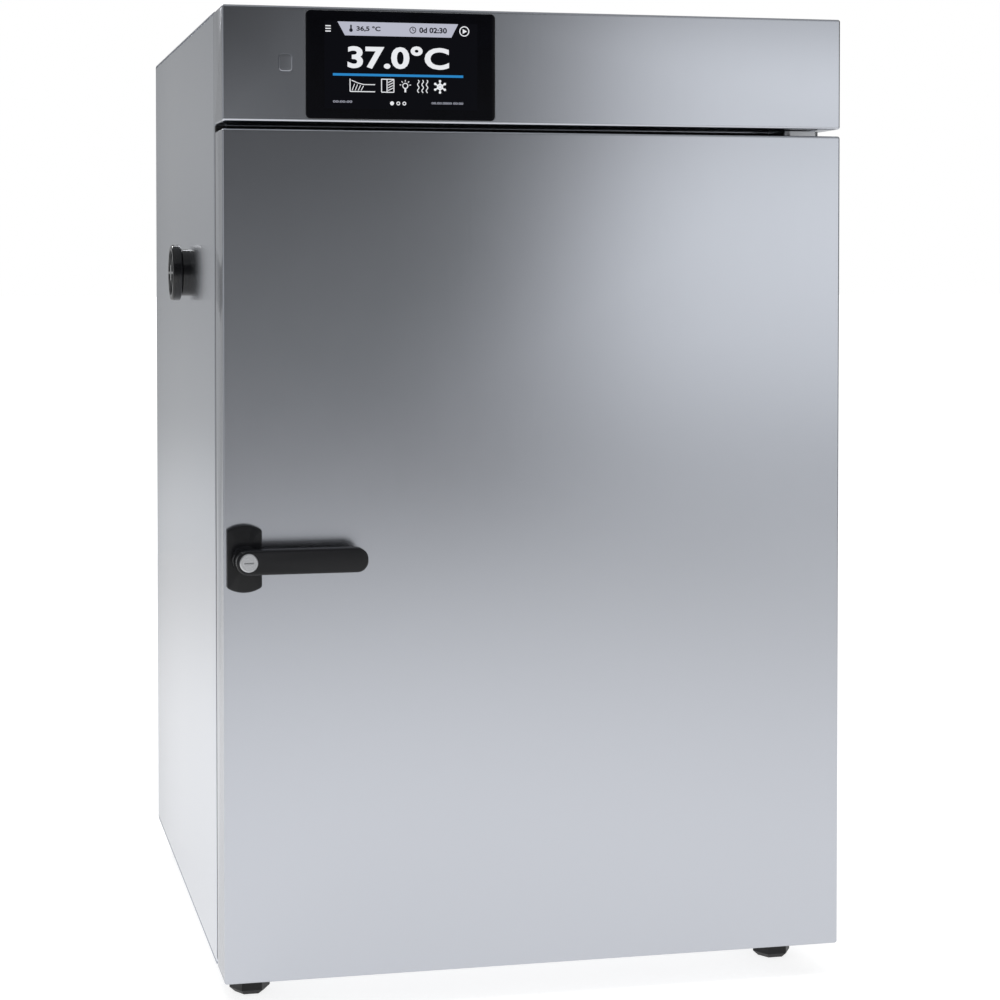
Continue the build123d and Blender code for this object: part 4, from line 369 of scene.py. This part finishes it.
def turned(name, centre, tint, roughness):
    """Turned metal: rings round an axis along Y."""
    material, tree, shader, place = new_material(name)
    offset = add(tree, "ShaderNodeVectorMath", {0: place, 1: centre}, operation="SUBTRACT")
    parts = add(tree, "ShaderNodeSeparateXYZ", {0: offset.outputs[0]})
    flat = add(tree, "ShaderNodeCombineXYZ", {"X": parts.outputs[0], "Y": parts.outputs[2]})
    radius = add(tree, "ShaderNodeVectorMath", {0: flat.outputs[0]}, operation="LENGTH")
    ring = add(tree, "ShaderNodeMath", {0: radius.outputs["Value"], 1: 1 / LOCK_RING}, operation="MULTIPLY")
    rings = add(tree, "ShaderNodeTexNoise", {"W": ring.outputs[0], "Scale": 1.0, "Detail": 2.0},
                noise_dimensions="1D").outputs[0]
    shade = ranged(tree, rings, 0.88, 1.1)
    rough = ranged(tree, rings, roughness * 0.8, roughness * 1.2)
    bump = add(tree, "ShaderNodeBump", {"Height": rings, "Strength": 0.1, "Distance": RING_HEIGHT})
    tree.links.new(shaded(tree, tint[:3], shade), shader.inputs["Base Color"])
    tree.links.new(rough, shader.inputs["Roughness"])
    tree.links.new(bump.outputs[0], shader.inputs["Normal"])
    shader.inputs["Metallic"].default_value = 1.0
    return material


lock_low, lock_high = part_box("lock_barrel")
lock_centre = (lock_low + lock_high) / 2
finish_node(["lock_barrel"], turned("turned_nickel", lock_centre, NICKEL_TINT, LOCK_ROUGHNESS))
finish_node(["power_button"], steel_across)

# Electrical pieces: display module, power supply, relay, board, motor and heater.
# Pressed aluminium cases, a painted motor, a green laminate board and a steel-sheathed heating rod
# that heat has browned.
ALUMINIUM_TINT = (0.70, 0.71, 0.72, 1.0)
HEATED_TINT = (0.34, 0.30, 0.26, 1.0)
MOTOR_TINT = (0.028, 0.030, 0.034, 1.0)
LAMINATE_TINT = (0.012, 0.075, 0.032, 1.0)
aluminium = brushed("pressed_aluminium", "X", ALUMINIUM_TINT, roughness=0.38, depth=0.06, relief=0.03)
heated_steel = brushed("heat_tinted_steel", "Y", HEATED_TINT, roughness=0.42, depth=0.12, relief=0.04)
motor_paint = moulded("motor_paint", MOTOR_TINT, roughness=0.5, grain=0.001, relief=0.2)
board_laminate = moulded("board_laminate", LAMINATE_TINT, roughness=0.35, grain=0.002, relief=0.1)
finish_node(["display_module", "power_supply", "solid_state_relay"], aluminium)
finish_node(["ring_heater"], heated_steel)
finish_node(["fan_motor"], motor_paint)
finish_node(["control_board"], board_laminate)

# Display: a black glass pane over a lit panel, with its read-out.
# Toughened glass with a printed black border, bonded to the panel; the lit signs are thin slabs just
# proud of the pane: plain numbers, a menu sign, a start sign and small pictograms.
glass_low, glass_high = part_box("display_glass")
GLASS_MID = (glass_low + glass_high) / 2
MM = 0.001
SCREEN = (154.0, 86.0)
SIGN_STEP = 0.04
TOUCHING = 0.001
GLASS_GLOSS = 0.2
MARKS_PER_METRE = 30.0
ROWS_PER_METRE = 800.0
LIT_ROUGHNESS = 0.12
BLACK_GLASS = (0.0012, 0.0012, 0.0016, 1.0)
PANEL_BLACK = (0.0022, 0.0024, 0.0042, 1.0)
WHITE_SIGN = (0.82, 0.83, 0.86, 1.0)
GREY_SIGN = (0.48, 0.49, 0.58, 1.0)
DARK_SIGN = (0.012, 0.013, 0.02, 1.0)
BLUE_SIGN = (0.024, 0.235, 0.56, 1.0)


def pane(name):
    """Black glass with a faint cloud of cleaning marks in its gloss."""
    material, tree, shader, place = new_material(name)
    marks = add(tree, "ShaderNodeTexNoise", {
        "Vector": place, "Scale": MARKS_PER_METRE, "Detail": 5.0, "Distortion": 0.6}).outputs[0]
    colour = add(tree, "ShaderNodeMix", {0: marks, 6: BLACK_GLASS, 7: PANEL_BLACK}, data_type="RGBA")
    tree.links.new(ranged(tree, marks, 0.03, 0.09), shader.inputs["Roughness"])
    tree.links.new(colour.outputs[2], shader.inputs["Base Color"])
    shader.inputs["Specular IOR Level"].default_value = GLASS_GLOSS
    return material


def lit(name, colour):
    """A lit part of the panel: its colour, with the panel's fine rows of picture cells."""
    material, tree, shader, place = new_material(name)
    rows = add(tree, "ShaderNodeTexWave", {"Vector": place, "Scale": ROWS_PER_METRE}, bands_direction="Z")
    shade = ranged(tree, rows.outputs["Fac"], 0.94, 1.02)
    tree.links.new(shaded(tree, colour[:3], shade), shader.inputs["Emission Color"])
    shader.inputs["Emission Strength"].default_value = 1.0
    shader.inputs["Base Color"].default_value = (0.0, 0.0, 0.0, 1.0)
    shader.inputs["Roughness"].default_value = LIT_ROUGHNESS
    shader.inputs["Specular IOR Level"].default_value = GLASS_GLOSS
    return material


def sign_object(name, shape, layer, material):
    """Turns a flat bmesh drawn in display millimetres into a thin slab on the pane."""
    bmesh.ops.remove_doubles(shape, verts=shape.verts, dist=TOUCHING)
    bmesh.ops.recalc_face_normals(shape, faces=shape.faces)
    flipped = [face for face in shape.faces if face.normal.z < 0]
    bmesh.ops.reverse_faces(shape, faces=flipped)
    made = bmesh.ops.extrude_face_region(shape, geom=shape.faces[:], use_keep_orig=True)
    raised = [item for item in made["geom"] if isinstance(item, bmesh.types.BMVert)]
    bmesh.ops.translate(shape, verts=raised, vec=(0, 0, SIGN_STEP))
    bmesh.ops.recalc_face_normals(shape, faces=shape.faces)
    to_pane = Matrix((
        (MM, 0, 0, GLASS_MID.x),
        (0, 0, -MM, glass_low.y - layer * SIGN_STEP * MM),
        (0, MM, 0, GLASS_MID.z),
        (0, 0, 0, 1),
    ))
    bmesh.ops.transform(shape, matrix=to_pane, verts=shape.verts)
    piece = make_piece(name, shape, material)
    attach(piece, "cabinet")


def patch(shape, points):
    """A flat face through points."""
    shape.faces.new([shape.verts.new((*point, 0)) for point in points])


def bar(shape, start, end, width):
    """A straight stroke between two points."""
    a, b = Vector(start), Vector(end)
    side = (b - a).orthogonal().normalized() * width / 2
    patch(shape, [point + turn * side for point, turn in ((a, 1), (a, -1), (b, -1), (b, 1))])


def stroke(shape, points, width):
    """A bent stroke through points."""
    for start, end in zip(points, points[1:]):
        bar(shape, start, end, width)


def disc(shape, centre, radius, hole=0.0, steps=28):
    """A filled circle, or a ring where it has a hole."""
    place = Matrix.Translation((*centre, 0))
    rim = bmesh.ops.create_circle(shape, cap_ends=(hole == 0.0), radius=radius, segments=steps,
                                  matrix=place)["verts"]
    if hole:
        inner = bmesh.ops.create_circle(shape, radius=hole, segments=steps, matrix=place)["verts"]
        edges = {edge for vert in rim + inner for edge in vert.link_edges}
        bmesh.ops.bridge_loops(shape, edges=list(edges))


def lettering(name, words, left, base, width, height, material, layer, weight=0.0):
    """Plain numbers from Blender's own typeface, fitted to a width and a height."""
    curve = bpy.data.curves.new(name, "FONT")
    curve.body = words
    curve.offset = weight
    curve.resolution_u = 4
    source = bpy.data.objects.new(name, curve)
    flat = bpy.data.meshes.new_from_object(source)
    bpy.data.objects.remove(source)
    shape = bmesh.new()
    shape.from_mesh(flat)
    low = Vector([min(vert.co[axis] for vert in shape.verts) for axis in range(3)])
    high = Vector([max(vert.co[axis] for vert in shape.verts) for axis in range(3)])
    bmesh.ops.translate(shape, verts=shape.verts, vec=-low)
    size = high - low
    bmesh.ops.scale(shape, verts=shape.verts, vec=(width / size.x, height / size.y, 1))
    bmesh.ops.translate(shape, verts=shape.verts, vec=(left, base, 0))
    sign_object(name, shape, layer, material)


finish_node(["display_glass"], pane("black_glass"))
white_sign = lit("white_sign", WHITE_SIGN)
grey_sign = lit("grey_sign", GREY_SIGN)
dark_sign = lit("dark_sign", DARK_SIGN)
blue_sign = lit("blue_sign", BLUE_SIGN)

panel = bmesh.new()
bmesh.ops.create_grid(panel, x_segments=1, y_segments=1, size=0.5)
bmesh.ops.scale(panel, verts=panel.verts, vec=(*SCREEN, 1))
sign_object("screen_panel", panel, 1, lit("screen_black", PANEL_BLACK))

banner = bmesh.new()
patch(banner, ((-64, 42.5), (57.5, 42.5), (50.5, 29), (-56.5, 29)))
sign_object("screen_banner", banner, 2, grey_sign)

rule = bmesh.new()
bar(rule, (-68.6, -9.5), (62.6, -9.5), 2.4)
sign_object("screen_rule", rule, 2, blue_sign)

lettering("screen_number", "37.0°C", -54, -3.4, 102.2, 23, white_sign, 2, weight=0.03)
lettering("banner_degrees", "36,5 °C", -45, 32.9, 24, 5.6, dark_sign, 3, weight=0.035)
lettering("banner_hours", "0d 02:30", 18, 32.9, 28, 5.6, dark_sign, 3, weight=0.035)
lettering("screen_clock", "00:00:00", -68.5, -37.2, 19, 2.2, grey_sign, 2)
lettering("screen_date", "00.00.0000 00:00", 30.5, -37.4, 32, 2.2, grey_sign, 2)

# The menu lines, the start sign (a ring with an arrow head) and the three page dots.
START_SIGN = (63.7, 35.5)
ARROW_HEAD = ((-1.6, 2.4), (2.8, 0), (-1.6, -2.4))
signs = bmesh.new()
for height in (38.0, 35.4, 32.8):
    bar(signs, (-76, height), (-70.6, height), 1.1)
disc(signs, START_SIGN, 5.1, 4.1)
patch(signs, [(START_SIGN[0] + x, START_SIGN[1] + z) for x, z in ARROW_HEAD])
disc(signs, (-9.5, -37.1), 2.0)
disc(signs, (-3.2, -37.1), 1.9, 1.0)
disc(signs, (2.9, -37.1), 1.9, 1.0)
sign_object("screen_marks", signs, 2, white_sign)

# Programme sign: two axes, a curve that falls off and hatching under it.
pictograms = bmesh.new()
stroke(pictograms, ((-51.5, -13.5), (-51.5, -26), (-26.5, -26)), 0.9)
stroke(pictograms, ((-50, -15), (-44, -17.5), (-38, -19), (-26.5, -19)), 0.8)
for step in range(4):
    bar(pictograms, (-49.5 + 3 * step, -25), (-47 + 3 * step, -18.5 - 0.6 * step), 0.7)

# Chamber sign: a box with a post, hatched on one side.
stroke(pictograms, ((-20, -13.4), (-7.6, -13.4), (-7.6, -26.2), (-20, -26.2), (-20, -13)), 0.9)
bar(pictograms, (-14.5, -13.4), (-14.5, -26.2), 0.9)
for step in range(4):
    bar(pictograms, (-13.5, -24.5 + 2.6 * step), (-8.5, -22 + 2.6 * step), 0.8)

# Lamp sign: a round bulb on a foot, with five rays.
BULB = (3.9, -19.6)
disc(pictograms, BULB, 3.0, 2.1)
bar(pictograms, (3.9, -22.6), (3.9, -26), 1.8)
for turn in range(5):
    angle = math.radians(10 + 40 * turn)
    ray = Vector((math.cos(angle), math.sin(angle)))
    bar(pictograms, Vector(BULB) + ray * 4.2, Vector(BULB) + ray * 5.8, 0.8)

# Air sign: three waves side by side.
for left in (17.0, 21.4, 25.8):
    wave = [(left + 0.9 * math.sin(step * 1.1), -13.6 - 12.6 * step / 12) for step in range(13)]
    stroke(pictograms, wave, 0.9)

# Frost sign: three crossed bars, a ring round the middle and a dot near each tip.
STAR = (39, -20)
for turn in range(3):
    angle = math.radians(30 + 60 * turn)
    ray = Vector((math.cos(angle), math.sin(angle))) * 6.2
    bar(pictograms, Vector(STAR) - ray, Vector(STAR) + ray, 1.3)
disc(pictograms, STAR, 3.2, 2.0)
for turn in range(6):
    angle = math.radians(30 + 60 * turn)
    disc(pictograms, (STAR[0] + 5.6 * math.cos(angle), STAR[1] + 5.6 * math.sin(angle)), 1.3, steps=12)
sign_object("screen_pictograms", pictograms, 2, white_sign)

# The banner's own signs: a thermometer and a clock with two hands.
banner_signs = bmesh.new()
bar(banner_signs, (-50.5, 34.5), (-50.5, 39.5), 1.6)
disc(banner_signs, (-50.5, 34.2), 1.8)
disc(banner_signs, (11.5, 35.6), 3.4, 2.6)
stroke(banner_signs, ((11.5, 37.6), (11.5, 35.6), (13.2, 34.8)), 0.8)
sign_object("banner_marks", banner_signs, 3, dark_sign)

# Studio: a pale floor, walls and a ceiling that the camera doesn't see, two lamps and the camera.
# The walls are dark on the camera's left, a wide soft box on its right and grey behind, which is
# what gives flat satin steel its shading.
FLOOR_SPAN = 120.0
PAPER_TINT = (0.95, 0.95, 0.95, 1.0)
PAPER_GLOW_SHARE = 0.55
PAPER_SEEN = 1.5
WALL_RADIUS = 4.6
WALL_SIDES = 96
WALL_MIDDLE = (0.0, -1.1)
WALL_HEIGHT = 5.0
WALL_TINT = (0.97, 0.985, 1.0, 1.0)
WALL_DARK = 0.18
FIRST_BEARING = -30.0
FULL_TURN = 360.0
# Each soft box starts, is full, fades and ends at a bearing in degrees. Then come its strength, the
# share of it that is left at its foot, and the height where the foot ends.
SOFT_BOXES = (
    (12.0, 20.5, 45.0, 62.0, 0.85, 0.38, 0.60),
    (118.0, 140.0, 165.0, 176.0, 0.50, 0.45, 0.60),
    (176.0, 186.0, 205.0, 230.0, 0.20, 2.0, 0.40),
    (240.0, 260.0, 300.0, 320.0, 0.28, 0.45, 0.60),
)
SKIRTING_FADE = 0.35
# Each of these holds two heights, and the shares of the light at them.
LOW_WALL = (0.20, 0.90, 1.50, 1.0)
HIGH_WALL = (0.90, 2.00, 1.0, 0.35)
BOX_RISE = (0.70, 1.20, 1.0, 1.18)
BOX_TOP = (1.42, 2.10, 1.0, 0.50)
CEILING_GLOW = 0.38


def bare_material(name):
    """Starts a material that has no nodes, and gives it with its tree."""
    material = bpy.data.materials.new(name)
    material.use_nodes = True
    material.node_tree.nodes.clear()
    return material, material.node_tree


def glow_only(tree, strength):
    """Ends a studio material that gives off light and nothing else."""
    glow = add(tree, "ShaderNodeEmission", {"Color": WALL_TINT, "Strength": strength})
    add(tree, "ShaderNodeOutputMaterial", {0: glow.outputs[0]})


paper, tree = bare_material("white_paper")
light_path = add(tree, "ShaderNodeLightPath")
seen = add(tree, "ShaderNodeMath", {0: light_path.outputs["Is Glossy Ray"],
                                    1: light_path.outputs["Is Transmission Ray"]}, operation="ADD")
either = add(tree, "ShaderNodeMath", {0: seen.outputs[0], 1: light_path.outputs["Is Camera Ray"]},
             operation="ADD", use_clamp=True)
share = add(tree, "ShaderNodeMath", {0: either.outputs[0], 1: PAPER_GLOW_SHARE}, operation="MULTIPLY")
matt = add(tree, "ShaderNodeBsdfDiffuse", {"Color": PAPER_TINT})
# Mirrors see the floor glow, strongest near the middle and weaker outwards: a painted pool of light.
place = add(tree, "ShaderNodeTexCoord").outputs["Object"]
spread = add(tree, "ShaderNodeVectorMath", {0: place}, operation="LENGTH")
fade = ranged(tree, spread.outputs["Value"], 1.0, 0.5, start=1.0, end=5.5)
level = add(tree, "ShaderNodeMix", {0: light_path.outputs["Is Camera Ray"], 2: fade, 3: PAPER_SEEN})
glow = add(tree, "ShaderNodeEmission", {"Color": (1, 1, 1, 1), "Strength": level.outputs[0]})
mixed = add(tree, "ShaderNodeMixShader", {0: share.outputs[0], 1: matt.outputs[0], 2: glow.outputs[0]})
add(tree, "ShaderNodeOutputMaterial", {0: mixed.outputs[0]})

shape = bmesh.new()
bmesh.ops.create_grid(shape, x_segments=1, y_segments=1, size=FLOOR_SPAN / 2)
floor = make_piece("floor", shape, paper)

wall_paint, tree = bare_material("wall_light")
place = add(tree, "ShaderNodeTexCoord").outputs["Object"]
parts = add(tree, "ShaderNodeSeparateXYZ", {0: place})
front = add(tree, "ShaderNodeMath", {0: parts.outputs[1], 1: -1.0}, operation="MULTIPLY")
bearing = add(tree, "ShaderNodeMath", {0: parts.outputs[0], 1: front.outputs[0]}, operation="ARCTAN2")
degrees = add(tree, "ShaderNodeMath", {0: bearing.outputs[0]}, operation="DEGREES")
turned_round = add(tree, "ShaderNodeMath", {0: degrees.outputs[0], 1: FULL_TURN}, operation="ADD")
behind = add(tree, "ShaderNodeMath", {0: degrees.outputs[0], 1: FIRST_BEARING}, operation="LESS_THAN")
full = add(tree, "ShaderNodeMix", {0: behind.outputs[0], 2: degrees.outputs[0], 3: turned_round.outputs[0]})


def ramp(tree, value, start, end, low, high):
    """A smooth change from low to high between two values."""
    return ranged(tree, value, low, high, start, end, "SMOOTHSTEP")


def times(tree, first, second):
    """The product of two values."""
    return add(tree, "ShaderNodeMath", {0: first, 1: second}, operation="MULTIPLY").outputs[0]


height = parts.outputs[2]
boxes = 0.0
for start, start_full, end_full, end, strength, foot, foot_top in SOFT_BOXES:
    rise = ramp(tree, full.outputs[0], start, start_full, 0.0, strength)
    fall = ramp(tree, full.outputs[0], end_full, end, 1.0, 0.0)
    foot_light = ramp(tree, height, foot_top - SKIRTING_FADE, foot_top, foot, 1.0)
    box_light = times(tree, times(tree, rise, fall), foot_light)
    boxes = add(tree, "ShaderNodeMath", {0: boxes, 1: box_light}, operation="ADD").outputs[0]
risen = times(tree, boxes, ramp(tree, height, *BOX_RISE))
bright = times(tree, risen, ramp(tree, height, *BOX_TOP))
bare_wall = times(tree, ramp(tree, height, *LOW_WALL), ramp(tree, height, *HIGH_WALL))
dark = times(tree, bare_wall, WALL_DARK)
level = add(tree, "ShaderNodeMath", {0: bright, 1: dark}, operation="ADD")
glow_only(tree, level.outputs[0])

shape = bmesh.new()
bmesh.ops.create_cone(shape, cap_ends=False, segments=WALL_SIDES, radius1=WALL_RADIUS, radius2=WALL_RADIUS,
                      depth=WALL_HEIGHT, matrix=Matrix.Translation((*WALL_MIDDLE, WALL_HEIGHT / 2)))
wall = make_piece("studio_wall", shape, wall_paint)
wall.visible_camera = False
wall.visible_shadow = False

ceiling_paint, tree = bare_material("ceiling_grey")
glow_only(tree, CEILING_GLOW)
shape = bmesh.new()
bmesh.ops.create_circle(shape, cap_ends=True, radius=WALL_RADIUS, segments=WALL_SIDES,
                        matrix=Matrix.Translation((*WALL_MIDDLE, WALL_HEIGHT)))
ceiling = make_piece("studio_ceiling", shape, ceiling_paint)
ceiling.visible_camera = False
ceiling.visible_shadow = False
ceiling.visible_diffuse = False

world = bpy.data.worlds.new("studio_air")
bpy.context.scene.world = world
world.use_nodes = True
world.node_tree.nodes["Background"].inputs["Color"].default_value = (1.0, 1.0, 1.0, 1.0)
world.node_tree.nodes["Background"].inputs["Strength"].default_value = 1.0

# Each lamp has a place, a target, a size, its power in watts, and whether metal mirrors it.
LAMPS = (
    ("overhead_lamp", (-0.4, -1.4, 3.0), (0.0, 0.0, 0.7), (1.6, 1.2), 55.0, False),
    ("rear_lamp", (-0.9, 1.6, 1.9), (-0.32, 0.0, 0.74), (0.6, 0.5), 10.0, True),
)
for name, place, target, size, power, mirrored in LAMPS:
    lamp_data = bpy.data.lights.new(name, "AREA")
    lamp_data.shape = "RECTANGLE"
    lamp_data.size, lamp_data.size_y = size
    lamp_data.energy = power
    lamp = bpy.data.objects.new(name, lamp_data)
    bpy.context.scene.collection.objects.link(lamp)
    lamp.visible_glossy = mirrored
    lamp.location = place
    lamp.rotation_euler = (Vector(target) - Vector(place)).to_track_quat("-Z", "Y").to_euler()

CAMERA_PLACE = (-0.5768, -2.6709, 0.7417)
CAMERA_LENS = 85.35
CAMERA_FILM = 36.0
CAMERA_REACH = 100.0
CAMERA_TURN = 13.241
CAMERA_PITCH = 1.486
CAMERA_SHIFT = -0.17
camera_data = bpy.data.cameras.new("camera")
camera_data.lens = CAMERA_LENS
camera_data.sensor_width = CAMERA_FILM
camera_data.shift_y = CAMERA_SHIFT
camera_data.clip_end = CAMERA_REACH
camera = bpy.data.objects.new("camera", camera_data)
bpy.context.scene.collection.objects.link(camera)
camera.location = CAMERA_PLACE
camera.rotation_euler = (math.radians(90 - CAMERA_PITCH), 0.0, math.radians(-CAMERA_TURN))
bpy.context.scene.camera = camera

bpy.context.scene.view_settings.view_transform = "Standard"
